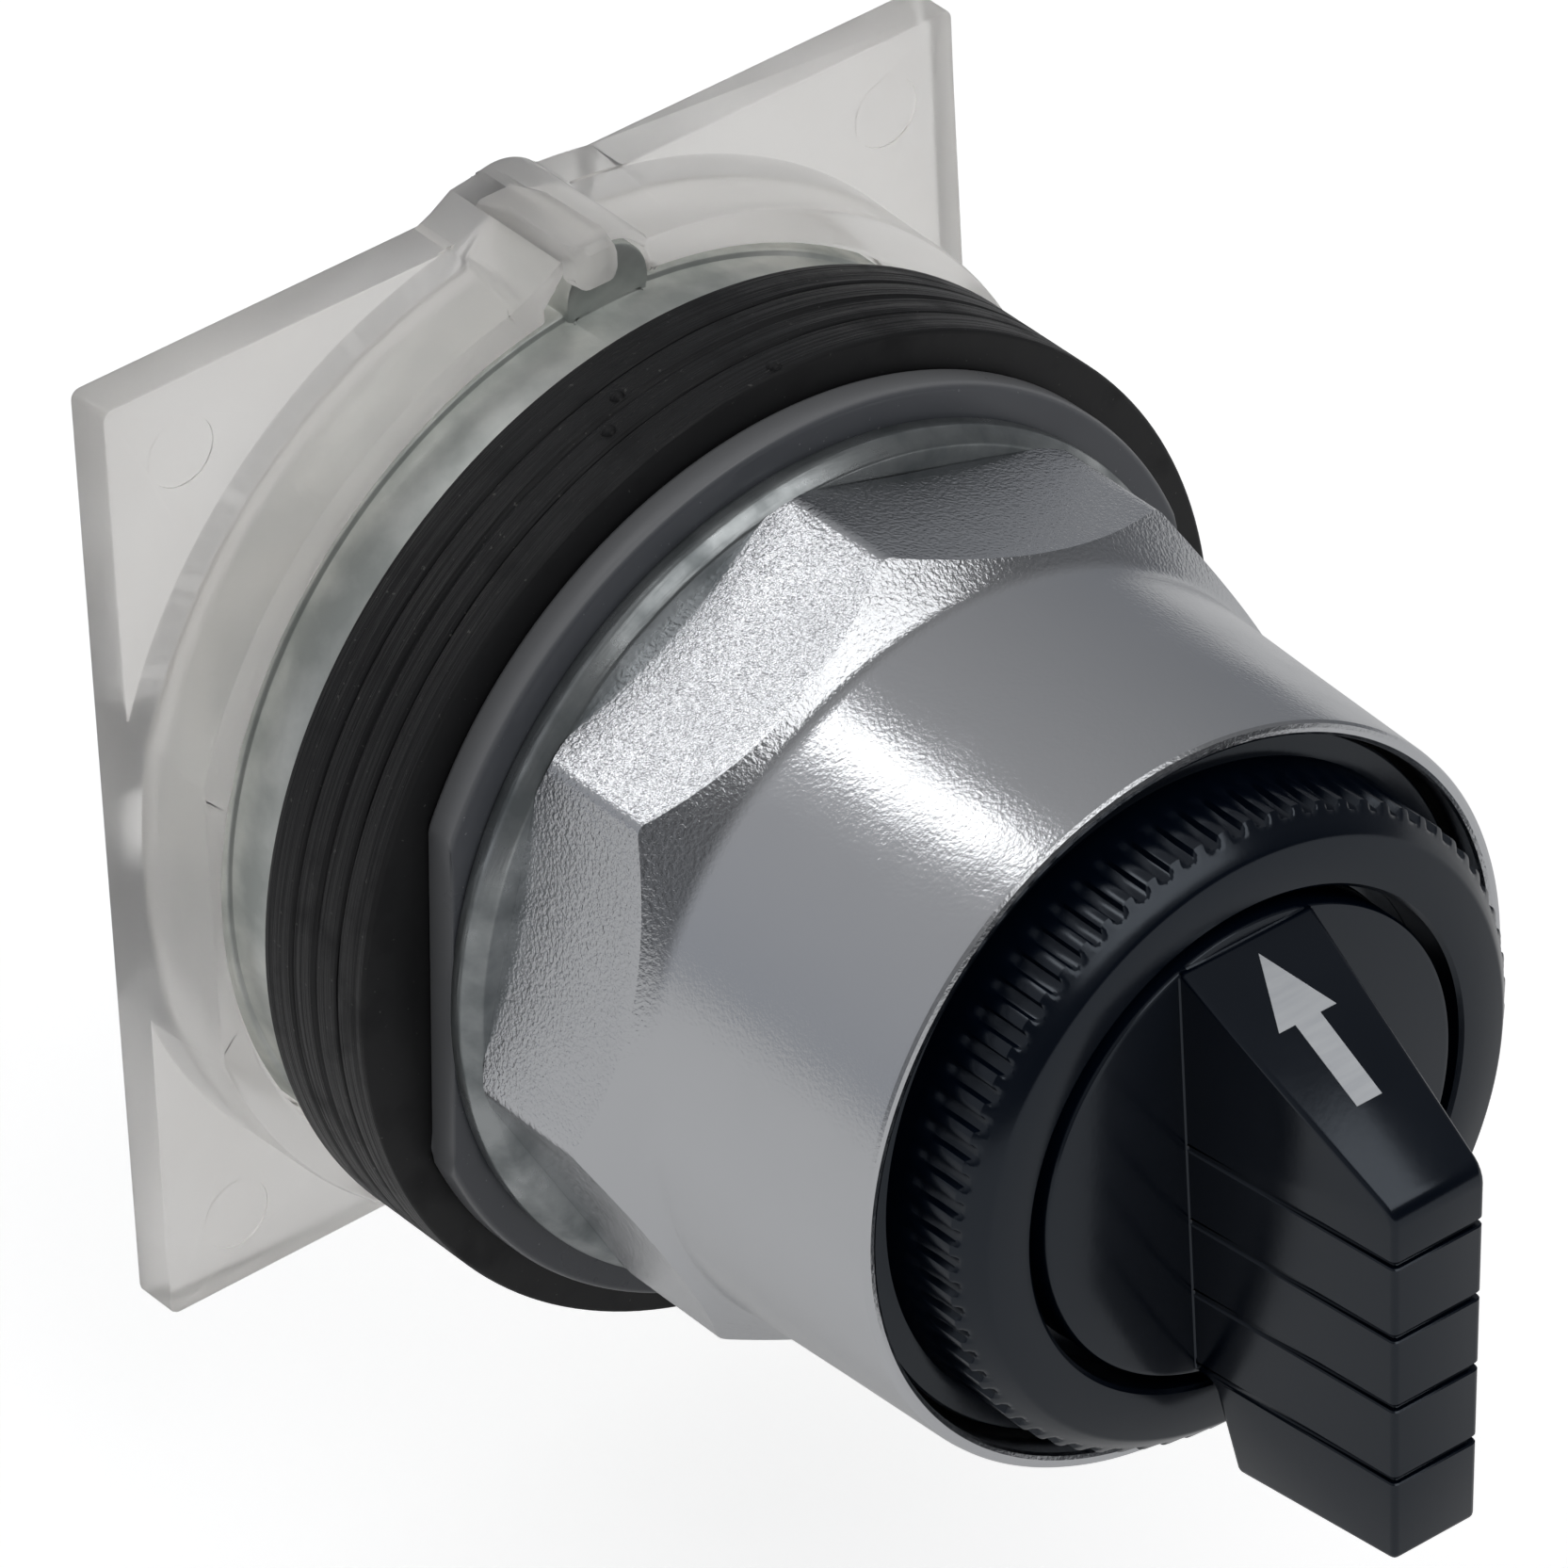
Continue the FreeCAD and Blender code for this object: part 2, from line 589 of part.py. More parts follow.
# Trim washer: gray, with two flats and a tongue that rides in the keyway.
trim = new_body("trim_washer")
revolve(trim, "trim_turned", [
    ("barrel_r + slip_clear", "0"), ("trim_r", "0"), ("trim_r", "0 - trim_t + trim_chamfer"),
    ("trim_r - trim_chamfer", "0 - trim_t"), ("barrel_r + slip_clear", "0 - trim_t"),
])
sk = new_sketch(trim, "trim_flats_outline", "XZ_Plane")
polygon(sk, [("trim_flat", "0 - trim_r"), ("trim_r + 2", "0 - trim_r"), ("trim_r + 2", "trim_r"),
    ("trim_flat", "trim_r")])
polygon(sk, [
    ("0 - trim_flat", "0 - trim_r"), ("0 - trim_r - 2", "0 - trim_r"), ("0 - trim_r - 2", "trim_r"),
    ("0 - trim_flat", "trim_r"),
])
pocket(trim, "trim_flats", sk, "trim_t + 1", reverse=True)
sk = new_sketch(trim, "tongue_outline", "XZ_Plane")
polygon(sk, [
    ("0 - tongue_half", "tongue_in"), ("tongue_half", "tongue_in"),
    ("tongue_half", "barrel_r + 0.9"), ("0 - tongue_half", "barrel_r + 0.9"),
])
pad(trim, "tongue", sk, "trim_t")
trim.Placement = FreeCAD.Placement(V(0, 0, 0), FreeCAD.Rotation(V(0, 1, 0), num("trim_turn")))
trim.setExpression("Placement.Rotation.Angle", "Params.trim_turn * 1 deg")

# Clamp washer: dull zinc, bevelled at its front.
clampw = new_body("clamp_washer")
revolve(clampw, "clamp_washer_turned", [
    ("barrel_r + slip_clear", "0 - trim_t"), ("clampw_r - 0.1", "0 - trim_t"),
    ("clampw_r", "0 - trim_t - 0.1"),
    ("clampw_r", "0 - trim_t - clampw_t + clampw_bevel"),
    ("clampw_r - clampw_bevel", "0 - trim_t - clampw_t"),
    ("barrel_r + slip_clear", "0 - trim_t - clampw_t"),
])

# Ring nut: a turned shape cut by eight flats. The flats end at the cone in
# curves, and the sleeve in front tapers to a thin rounded lip.
nut = new_body("ring_nut")
revolve(nut, "nut_turned", [
    ("barrel_r + seat_clear + nut_chamfer", "nut_rear_y"), ("nut_corner_r - nut_chamfer", "nut_rear_y"),
    ("nut_corner_r", "nut_rear_y - nut_chamfer"), ("nut_corner_r", "nut_rear_y - nut_base_len"),
    ("nut_sleeve_r + 0.75", "nut_rear_y - nut_base_len - nut_cone_len / 2 + 0.1"),
    ("nut_sleeve_r", "nut_rear_y - nut_base_len - nut_cone_len"),
    ("nut_mouth_r", "nut_front_y + nut_lip_round"),
    ("nut_mouth_r - nut_lip_round / 2", "nut_front_y + 0.06"),
    ("nut_mouth_r - nut_lip_round", "nut_front_y"), ("nut_mouth_bore_r", "nut_front_y"),
    ("nut_bore_r", "nut_rear_y - nut_thread_len - 0.5"),
    ("barrel_r + seat_clear", "nut_rear_y - nut_thread_len"),
    ("barrel_r + seat_clear", "nut_rear_y - nut_chamfer"),
])
sk = new_sketch(nut, "octagon_outline", "XZ_Plane", "0 - nut_rear_y - 1")
circle(sk, "0", "0", "nut_corner_r + 3")
polygon(sk, [
    ("nut_af/2", "nut_flat_half"), ("nut_flat_half", "nut_af/2"), ("0 - nut_flat_half", "nut_af/2"),
    ("0 - nut_af/2", "nut_flat_half"), ("0 - nut_af/2", "0 - nut_flat_half"),
    ("0 - nut_flat_half", "0 - nut_af/2"),
    ("nut_flat_half", "0 - nut_af/2"), ("nut_af/2", "0 - nut_flat_half"),
])
pocket(nut, "nut_flats", sk, "nut_base_len + nut_cone_len + 3", reverse=True)
nut.Placement = FreeCAD.Placement(V(0, 0, 0), FreeCAD.Rotation(V(0, 1, 0), num("nut_turn")))
nut.setExpression("Placement.Rotation.Angle", "Params.nut_turn * 1 deg")

# Bezel: screwed on the neck. Its lip holds the knob's flange, and flutes run
# along its rim into the bevel.
bezel = new_body("bezel")
revolve(bezel, "bezel_turned", [
    ("neck_r + seat_clear", "bezel_rear_y"), ("bezel_skirt_r", "bezel_rear_y"),
    ("bezel_skirt_r", "bezel_skirt_y"),
    ("bezel_r", "bezel_skirt_y - 0.3"), ("bezel_r", "bezel_bevel_y"), ("bezel_face_r", "bezel_face_y"),
    ("bezel_mouth_r", "bezel_face_y"), ("bezel_mouth_r", "bezel_lip_y"),
    ("knob_flange_r + 0.1", "bezel_lip_y"),
    ("knob_flange_r + 0.1", "neck_front_y"), ("neck_r + seat_clear", "neck_front_y"),
])
sk = new_sketch(bezel, "flute_outline", "XZ_Plane", "0 - flute_rear_y")
circle(sk, "bezel_r + flute_r - flute_depth", "0", "flute_r")
flute = pocket(bezel, "flute", sk, "flute_rear_y - bezel_face_y + 1", reverse=True)
flutes = bezel.newObject("PartDesign::PolarPattern", "flutes")
flutes.Originals = [flute]
flutes.Axis = (origin_item(bezel, "Y_Axis"), [""])
flutes.Angle = 360
tie(flutes, "Occurrences", "flute_count")
bezel.Tip = flutes

# Knob: a tapered blade in front of a disc, flange and hub turned in one. The
# blade's sides lean in towards its face and its foot. A ramp slopes down from
# its top, and its foot stands clear of the bezel.
knob = new_body("knob")
for name, text in (
    ("ramp_angle", "atan((ramp_top_z - front_top_z) / (disc_y - front_top_y)) / 1 deg"),
    ("front_slope", "(front_low_y - front_top_y) / (front_top_z - front_low_z)"),
):
    row = str(len(values) + 1)
    sheet.set("A" + row, name)
    sheet.set("B" + row, "=" + text)
    sheet.setAlias("B" + row, name)
    doc.recompute()
    values[name] = float(sheet.get(name))


def negated(text):
    """The terms of a sum, written so that they can follow a minus sign."""
    return text.replace("+", "~").replace("-", "+").replace("~", "-")


def blade_half(y, z):
    """Half the blade's thickness at a station and a height."""
    return "blade_half + blade_draft_z*%s + blade_draft_y*%s - blade_draft_y*disc_y" % (z, y)


sk = new_sketch(knob, "blade_side", "YZ_Plane")
polygon(sk, [
    ("disc_y + 0.3", "ramp_top_z - 0.3"), ("disc_y", "ramp_top_z"), ("front_top_y", "front_top_z"),
    ("front_low_y", "front_low_z"), ("under_rear_y", "under_rear_z"), ("under_step_y", "under_step_z"),
    ("disc_y", "under_step_z + 0.1"), ("disc_y + 0.3", "under_step_z + 0.4"),
])
pad(knob, "blade", sk, "blade_half * 4", midplane=True)
for name, side in (("right", ""), ("left", "0 - ")):
    sk = new_sketch(knob, "blade_cheek_" + name, "XY_Plane")
    root, tip = blade_half("disc_y", "0") + " + blade_draft_y", blade_half("blade_tip_y", "0")
    polygon(sk, [
        (side + (negated(root) if side else root), "disc_y + 1"),
        (side + (negated(tip) if side else tip), "blade_tip_y"),
        (side + "blade_half*3", "blade_tip_y"), (side + "blade_half*3", "disc_y + 1"),
    ])
    cheek = pocket(knob, "cheek_cut_" + name, sk, "60", midplane=True)
    cheek.UseCustomVector = True
    cheek.Direction = V(num(side + "blade_draft_z"), 0, 1)
    tie(cheek, "Direction.x", side + "blade_draft_z")
round_edges(knob, "blade_nose", "blade_nose_round",
    lambda e: abs(e.CenterOfMass.y - num("front_top_y")) < 0.05
            and abs(e.CenterOfMass.x) < 0.05)
round_edges(knob, "blade_edges", "blade_edge_round", lambda e: e.CenterOfMass.y < num("disc_y") - 1.5
            and abs(e.CenterOfMass.x) > 1.2 and e.Length > 5)
sk = new_sketch(knob, "knob_turned_profile", "XY_Plane")
polygon(sk, [
    ("0", "disc_y"), ("disc_r - disc_round", "disc_y"), ("disc_r", "disc_y + disc_round"),
    ("disc_r", "bezel_lip_y + run_clear"), ("knob_flange_r", "bezel_lip_y + run_clear"),
    ("knob_flange_r", "knob_flange_y"), ("hub_r", "knob_flange_y"),
    ("hub_r", "hub_rear_y - 0.3"), ("hub_r - 0.3", "hub_rear_y"), ("0", "hub_rear_y"),
])
turned = knob.newObject("PartDesign::Revolution", "knob_turned")
turned.Profile = sk
turned.ReferenceAxis = (sk, ["V_Axis"])
turned.Angle = 360
knob.Tip = turned
for i, letter in enumerate("abcd"):
    for name, text in (
        ("grip_z_" + letter, "grip_first_z - grip_pitch * %d" % i),
        ("grip_y_" + letter, "front_top_y + front_slope * (front_top_z - grip_z_%s)" % letter),
    ):
        row = str(len(values) + 1)
        sheet.set("A" + row, name)
        sheet.set("B" + row, "=" + text)
        sheet.setAlias("B" + row, name)
        doc.recompute()
        values[name] = float(sheet.get(name))
for letter in "abcd":
    z, y = "grip_z_" + letter, "grip_y_" + letter
    sk = new_sketch(knob, "grip_outline_" + letter, "XY_Plane", z)
    root = blade_half("disc_y", z) + " - grip_groove_run_out"
    tip = blade_half(y, z) + " - grip_groove_depth"
    polygon(sk, [
        ("blade_half + 2", "disc_y - 0.05"), (root, "disc_y - 0.05"), (tip, y + " + grip_groove_depth"),
        ("0 - " + negated(tip), y + " + grip_groove_depth"), ("0 - " + negated(root), "disc_y - 0.05"),
        ("0 - blade_half - 2", "disc_y - 0.05"), ("0 - blade_half - 2", "blade_tip_y - 2"),
        ("blade_half + 2", "blade_tip_y - 2"),
    ])
    pocket(knob, "grip_groove_" + letter, sk, "grip_groove_w", midplane=True)
sk = new_sketch(knob, "socket_outline", "XZ_Plane", "0 - hub_rear_y")
polygon(sk, [
    ("square_half + square_clear", "0 - square_half - square_clear"),
    ("square_half + square_clear", "square_half + square_clear"),
    ("0 - square_half - square_clear", "square_half + square_clear"),
    ("0 - square_half - square_clear", "0 - square_half - square_clear"),
])
pocket(knob, "socket", sk, "hub_rear_y - socket_front_y", reverse=True)


def arrow_sketch(body, name, grow):
    """The arrow's outline on the ramp, which it sees from the front."""
    sk = body.newObject("Sketcher::SketchObject", name)
    sk.AttachmentSupport = [(origin_item(body, "XZ_Plane"), "")]
    sk.MapMode = "FlatFace"
    # The sketch turns about X at the point where the ramp meets the disc.
    sk.AttachmentOffset = FreeCAD.Placement(V(0, num("ramp_top_z"), -num("disc_y")),
        FreeCAD.Rotation(V(1, 0, 0), num("ramp_angle") - 90))
    tie(sk, "AttachmentOffset.Base.y", "ramp_top_z")
    tie(sk, "AttachmentOffset.Base.z", "0 - disc_y")
    sk.setExpression("AttachmentOffset.Rotation.Angle", "(Params.ramp_angle - 90) * 1 deg")
    tip, base, end = "0 - arrow_start", "0 - arrow_start - arrow_head_len", "0 - arrow_start - arrow_len"
    polygon(sk, [
        ("0", tip + (" + 2*" + grow if grow else "")),
        ("0 - arrow_head_half" + (" - 2*" + grow if grow else ""), base + (" - " + grow if grow else "")),
        ("0 - arrow_shaft_half" + (" - " + grow if grow else ""), base + (" - " + grow if grow else "")),
        ("0 - arrow_shaft_half" + (" - " + grow if grow else ""), end + (" - " + grow if grow else "")),
        ("arrow_shaft_half" + (" + " + grow if grow else ""), end + (" - " + grow if grow else "")),
        ("arrow_shaft_half" + (" + " + grow if grow else ""), base + (" - " + grow if grow else "")),
        ("arrow_head_half" + (" + 2*" + grow if grow else ""), base + (" - " + grow if grow else "")),
    ])
    return sk


sk = arrow_sketch(knob, "arrow_recess_outline", "arrow_clear")
pocket(knob, "arrow_recess", sk, "arrow_depth")

# Arrow: a thin white inlay in the ramp's recess.
arrow = new_body("knob_arrow")
sk = arrow_sketch(arrow, "arrow_outline", "")
pad(arrow, "arrow_front", sk, "arrow_proud")
pad(arrow, "arrow_rear", sk, "arrow_depth", reverse=True)

# Spindle: square at both ends, with a groove for its seal and a screw hole.
spindle = new_body("spindle")
revolve(spindle, "spindle_turned", [
    ("0", "web_front_y"), ("shaft_r - 0.2", "web_front_y"), ("shaft_r", "web_front_y + 0.2"),
    ("shaft_r", "seal_y - seal_groove_w / 2"), ("seal_groove_r", "seal_y - seal_groove_w / 2"),
    ("seal_groove_r", "seal_y + seal_groove_w / 2"), ("shaft_r", "seal_y + seal_groove_w / 2"),
    ("shaft_r", "cam_front_y - 0.4"), ("shaft_r - 0.2", "cam_front_y - 0.2"), ("0", "cam_front_y - 0.2"),
])


def square(sk, half):
    return polygon(sk, [
        (half, "0 - " + negated(half)), (half, half), ("0 - " + negated(half), half),
        ("0 - " + negated(half), "0 - " + negated(half)),
    ])


sk = new_sketch(spindle, "front_square", "XZ_Plane", "0 - web_front_y")
square(sk, "square_half")
pad(spindle, "front_end", sk, "web_front_y - spindle_front_y")
sk = new_sketch(spindle, "rear_square", "XZ_Plane", "0 - cam_front_y + 0.2")
square(sk, "square_half")
pad(spindle, "rear_end", sk, "spindle_rear_y - cam_front_y + 0.2", reverse=True)
sk = new_sketch(spindle, "tapped_outline", "XZ_Plane", "0 - spindle_rear_y")
circle(sk, "0", "0", "cam_screw_hole_r")
pocket(spindle, "tapped_hole", sk, "cam_screw_hole_len", reverse=True)

# Spindle seal: a round rubber ring in the spindle's groove.
seal = doc.addObject("Part::Torus", "spindle_seal")
seal.Label = "spindle_seal"
tie(seal, "Radius1", "seal_ring_r")
tie(seal, "Radius2", "seal_wire_r")
seal.Placement = FreeCAD.Placement(V(0, num("seal_y"), 0), FreeCAD.Rotation(V(1, 0, 0), 90))
tie(seal, "Placement.Base.y", "seal_y")

# Knob seal: a flat rubber ring between the neck and the knob's flange.
kseal = new_body("knob_seal")
revolve(kseal, "knob_seal_turned", [
    ("knob_seal_in", "neck_front_y"), ("knob_seal_out", "neck_front_y"),
    ("knob_seal_out", "knob_flange_y + 0.3 + run_clear"),
    ("knob_seal_out - 0.3", "knob_flange_y + run_clear"),
    ("knob_seal_in + 0.3", "knob_flange_y + run_clear"),
    ("knob_seal_in", "knob_flange_y + 0.3 + run_clear"),
])

# Cam: a star wheel for the detent springs at the front, then a disc with two
# helical ramps. One ramp climbs and the other falls as the knob turns.
cam = new_body("cam")
revolve(cam, "cam_turned", [
    ("0", "cam_front_y"), ("star_r - 0.3", "cam_front_y"), ("star_r", "cam_front_y + 0.3"),
    ("star_r", "cam_disc_front_y"),
    ("cam_r", "cam_disc_front_y"), ("cam_r", "cam_low_y"), ("cam_hub_r", "cam_low_y"),
    ("cam_hub_r", "cam_high_y"), ("0", "cam_high_y"),
])
sk = new_sketch(cam, "star_notch_outline", "XZ_Plane", "0 - cam_disc_front_y")
circle(sk, "star_notch_centre", "0", "star_notch_r")
notch = pocket(cam, "star_notch", sk, "cam_disc_front_y - cam_front_y + 0.5", reverse=True)
notch.Reversed = True
star = cam.newObject("PartDesign::PolarPattern", "star_notches")
star.Originals = [notch]
star.Axis = (origin_item(cam, "Y_Axis"), [""])
star.Angle = 360
tie(star, "Occurrences", "notch_count")
cam.Tip = star
sk = new_sketch(cam, "stop_lug_profile", "XY_Plane")
polygon(sk, [
    ("0 - stop_lug_out", "stop_lug_y"), ("0 - stop_lug_in", "stop_lug_y"),
    ("0 - stop_lug_in", "cam_front_y + 0.5"), ("0 - stop_lug_out", "cam_front_y + 0.5"),
])
lug = cam.newObject("PartDesign::Revolution", "stop_lug")
lug.Profile = sk
lug.ReferenceAxis = (sk, ["V_Axis"])
lug.setExpression("Angle", "Params.stop_lug_half_angle * 2 * 1 deg")
lug.Midplane = True
cam.Tip = lug
sk = new_sketch(cam, "plateau_profile", "XY_Plane", turn="0 - 90")
polygon(sk, [
    ("cam_hub_r - 0.4", "cam_low_y - 0.3"), ("cam_r", "cam_low_y - 0.3"), ("cam_r", "cam_high_y"),
    ("cam_hub_r - 0.4", "cam_high_y"),
])
plateau = cam.newObject("PartDesign::Revolution", "plateau")
plateau.Profile = sk
plateau.ReferenceAxis = (sk, ["V_Axis"])
plateau.setExpression("Angle", "(180 - Params.cam_sector) * 1 deg")
plateau.Midplane = True
cam.Tip = plateau
for side, turn in (("right", "ramp_start_angle"), ("left", "180 - ramp_start_angle")):
    sk = new_sketch(cam, "ramp_profile_" + side, "XY_Plane", turn=turn)
    polygon(sk, [
        ("cam_hub_r - 0.4", "cam_low_y - cam_ramp_root"), ("cam_r", "cam_low_y - cam_ramp_root"),
        ("cam_r", "cam_low_y"), ("cam_hub_r - 0.4", "cam_low_y"),
    ])
    ramp = cam.newObject("PartDesign::AdditiveHelix", "cam_ramp_" + side)
    ramp.Profile = sk
    ramp.ReferenceAxis = (sk, ["V_Axis"])
    ramp.Mode = 0
    tie(ramp, "Pitch", "cam_lead")
    tie(ramp, "Height", "cam_high_y - cam_low_y")
    ramp.LeftHanded = side == "right"
    cam.Tip = ramp
sk = new_sketch(cam, "cam_square_outline", "XZ_Plane", "0 - cam_front_y + 0.5")
square(sk, "square_half + square_clear")
pocket(cam, "cam_square", sk, "spindle_rear_y - cam_front_y + 0.5 + seat_clear")
sk = new_sketch(cam, "cam_screw_clearance", "XZ_Plane", "0 - cam_high_y")
circle(sk, "0", "0", "cam_screw_hole_r + 0.1")
pocket(cam, "cam_screw_passage", sk, "cam_high_y - spindle_rear_y + 0.5", reverse=True)


def cross_recess(body, y, depth):
    """A cross recess in a screw head that faces the rear."""
    sk = new_sketch(body, body.Name + "_cross", "XZ_Plane", "0 - " + negated(y))
    length, width = "cross_len/2", "cross_w/2"
    polygon(sk, [
        (width, width), (width, length), ("0 - " + width, length), ("0 - " + width, width),
        ("0 - " + length, width), ("0 - " + length, "0 - " + width), ("0 - " + width, "0 - " + width),
        ("0 - " + width, "0 - " + length), (width, "0 - " + length), (width, "0 - " + width),
        (length, "0 - " + width), (length, width),
    ])
    pocket(body, body.Name + "_recess", sk, depth, reverse=True)


# Cam screw: a pan head on the cam's hub, its shank in the spindle.
cam_screw = new_body("cam_screw")
revolve(cam_screw, "cam_screw_turned", [
    ("0", "cam_high_y - cam_screw_len"), ("cam_screw_r - 0.4", "cam_high_y - cam_screw_len"),
    ("cam_screw_r", "cam_high_y - cam_screw_len + 0.4"), ("cam_screw_r", "cam_high_y"),
    ("cam_screw_head_r", "cam_high_y"), ("cam_screw_head_r", "cam_high_y + cam_screw_head_t * 0.6"),
    ("cam_screw_head_r - 0.7", "cam_high_y + cam_screw_head_t"), ("0", "cam_high_y + cam_screw_head_t"),
])
cross_recess(cam_screw, "cam_high_y + cam_screw_head_t", "cross_depth")

# Detent springs: flat strips whose ends sit in slots of the cavity's wall.
# Each has a bent nose that rests in a notch of the star wheel.
for name, side in (("detent_spring_top", ""), ("detent_spring_bottom", "0 - ")):
    leaf = new_body(name)
    sk = new_sketch(leaf, name + "_outline", "XZ_Plane", "0 - leaf_mid_y")
    half = [
        ("leaf_nose_half", "leaf_nose_z"), ("leaf_nose_root", "leaf_arm_z"), ("leaf_arm_x", "leaf_arm_z"),
        ("leaf_arm_x", "leaf_arm_z + leaf_t"), ("leaf_nose_root - 0.22", "leaf_arm_z + leaf_t"),
        ("leaf_nose_half - 0.22", "leaf_nose_z + leaf_t"),
    ]
    points = half + [("0 - " + negated(x), z) for x, z in reversed(half)]
    polygon(sk, [(x, side + (negated(z) if side else z)) for x, z in points])
    pad(leaf, name + "_strip", sk, "leaf_w", midplane=True)

# Push rods: round rods with a collar for the spring. The foot is a ridge that
# points to the axis, so it touches the helical ramp along a radius.
for name, side in (("plunger_left", "0 - "), ("plunger_right", "")):
    rod = new_body(name)
    revolve(rod, name + "_turned", [
        ("0", "cam_mid_y + rod_gap"), ("rod_r", "cam_mid_y + rod_gap"), ("rod_r", "rod_collar_y"),
        ("rod_collar_r - 0.2", "rod_collar_y"), ("rod_collar_r", "rod_collar_y + 0.2"),
        ("rod_collar_r", "rod_collar_y + rod_collar_t"), ("rod_r", "rod_collar_y + rod_collar_t"),
        ("rod_r", "rod_rear_y - rod_tip_chamfer"), ("rod_r - rod_tip_chamfer", "rod_rear_y"),
        ("0", "rod_rear_y"),
    ])
    sk = new_sketch(rod, name + "_foot_side", "YZ_Plane")
    polygon(sk, [
        ("cam_mid_y + rod_gap - 0.5", "rod_edge_half"), ("cam_mid_y + rod_gap", "rod_edge_half"),
        ("cam_mid_y + rod_gap + rod_wedge_len", "rod_r"),
        ("cam_mid_y + rod_gap + rod_wedge_len", "rod_r + 1"),
        ("cam_mid_y + rod_gap - 0.5", "rod_r + 1"),
    ])
    polygon(sk, [
        ("cam_mid_y + rod_gap - 0.5", "0 - rod_edge_half"), ("cam_mid_y + rod_gap", "0 - rod_edge_half"),
        ("cam_mid_y + rod_gap + rod_wedge_len", "0 - rod_r"),
        ("cam_mid_y + rod_gap + rod_wedge_len", "0 - rod_r - 1"),
        ("cam_mid_y + rod_gap - 0.5", "0 - rod_r - 1"),
    ])
    pocket(rod, name + "_foot", sk, "rod_r * 3", midplane=True)
    rod.Placement = FreeCAD.Placement(V(num(side + "rod_x"), 0, 0), FreeCAD.Rotation())
    tie(rod, "Placement.Base.x", side + "rod_x")

# Springs of the push rods, between each rod's collar and the cover.
for name, side in (("plunger_spring_left", "0 - "), ("plunger_spring_right", "")):
    coil = new_body(name)
    sk = new_sketch(coil, name + "_wire", "XY_Plane")
    circle(sk, "coil_r", "rod_collar_y + rod_collar_t + coil_end_gap", "coil_wire_r")
    turns = coil.newObject("PartDesign::AdditiveHelix", name + "_coil")
    turns.Profile = sk
    turns.ReferenceAxis = (sk, ["V_Axis"])
    turns.Mode = 2
    tie(turns, "Height", "rear_y - cover_t - rod_collar_y - rod_collar_t - 2 * coil_end_gap")
    tie(turns, "Turns", "coil_turns")
    coil.Tip = turns
    coil.Placement = FreeCAD.Placement(V(num(side + "rod_x"), 0, 0), FreeCAD.Rotation())
    tie(coil, "Placement.Base.x", side + "rod_x")

# Cover: closes the cam's cavity, guides the rods and is held by the plate.
cover = new_body("cam_cover")
revolve(cover, "cover_turned", [
    ("0", "rear_y - cover_t"), ("cover_r - 0.2", "rear_y - cover_t"), ("cover_r", "rear_y - cover_t + 0.2"),
    ("cover_r", "rear_y"), ("cover_recess_r + 0.4", "rear_y"),
    ("cover_recess_r", "rear_y - cover_recess_depth"),
    ("0", "rear_y - cover_recess_depth"),
])
sk = new_sketch(cover, "rod_holes_outline", "XZ_Plane", "0 - rear_y")
circle(sk, "rod_x", "0", "rod_r + run_clear")
circle(sk, "0 - rod_x", "0", "rod_r + run_clear")
pocket(cover, "rod_holes", sk, "cover_t + 0.5", reverse=True)

# Plate screws: countersunk and just below the plate's rear face.
for name, side in (("plate_screw_top", ""), ("plate_screw_bottom", "0 - ")):
    screw = new_body(name)
    head = "rear_y + plate_t - screw_sunk"
    revolve(screw, name + "_turned", [
        ("0", head + " - screw_head_t - screw_len"),
        ("screw_r - 0.4", head + " - screw_head_t - screw_len"),
        ("screw_r", head + " - screw_head_t - screw_len + 0.4"), ("screw_r", head + " - screw_head_t"),
        ("screw_head_r", head), ("0", head),
    ])
    cross_recess(screw, head, "cross_depth")
    screw.Placement = FreeCAD.Placement(V(0, 0, num(side + "hole_circle_r")), FreeCAD.Rotation())
    tie(screw, "Placement.Base.z", side + "hole_circle_r")

doc.recompute()

PARTS = [
    "backing_plate", "body_casting", "gasket_rear", "gasket_middle", "gasket_front", "trim_washer", "clamp_washer",
    "ring_nut", "bezel", "knob", "knob_arrow", "spindle", "spindle_seal", "knob_seal", "cam", "cam_screw",
    "detent_spring_top", "detent_spring_bottom", "plunger_left", "plunger_right",
    "plunger_spring_left", "plunger_spring_right", "cam_cover", "plate_screw_top", "plate_screw_bottom",
]
bad = [o.Name for o in doc.Objects if "Invalid" in o.State or "Error" in o.State]
if bad:
    raise RuntimeError("not computed: " + ", ".join(bad))
os.makedirs("parts", exist_ok=True)
for name in PARTS:
    shape = doc.getObject(name).Shape
    if shape.isNull() or not shape.isValid() or len(shape.Solids) != 1:
        raise RuntimeError("bad shape: " + name)
    shape.exportStep("parts/" + name + ".step")
    box = shape.BoundBox
    print(name, round(shape.Volume, 1), len(shape.Faces),
          [round(v, 2) for v in (box.XMin, box.XMax, box.YMin, box.YMax, box.ZMin, box.ZMax)])
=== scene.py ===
import math

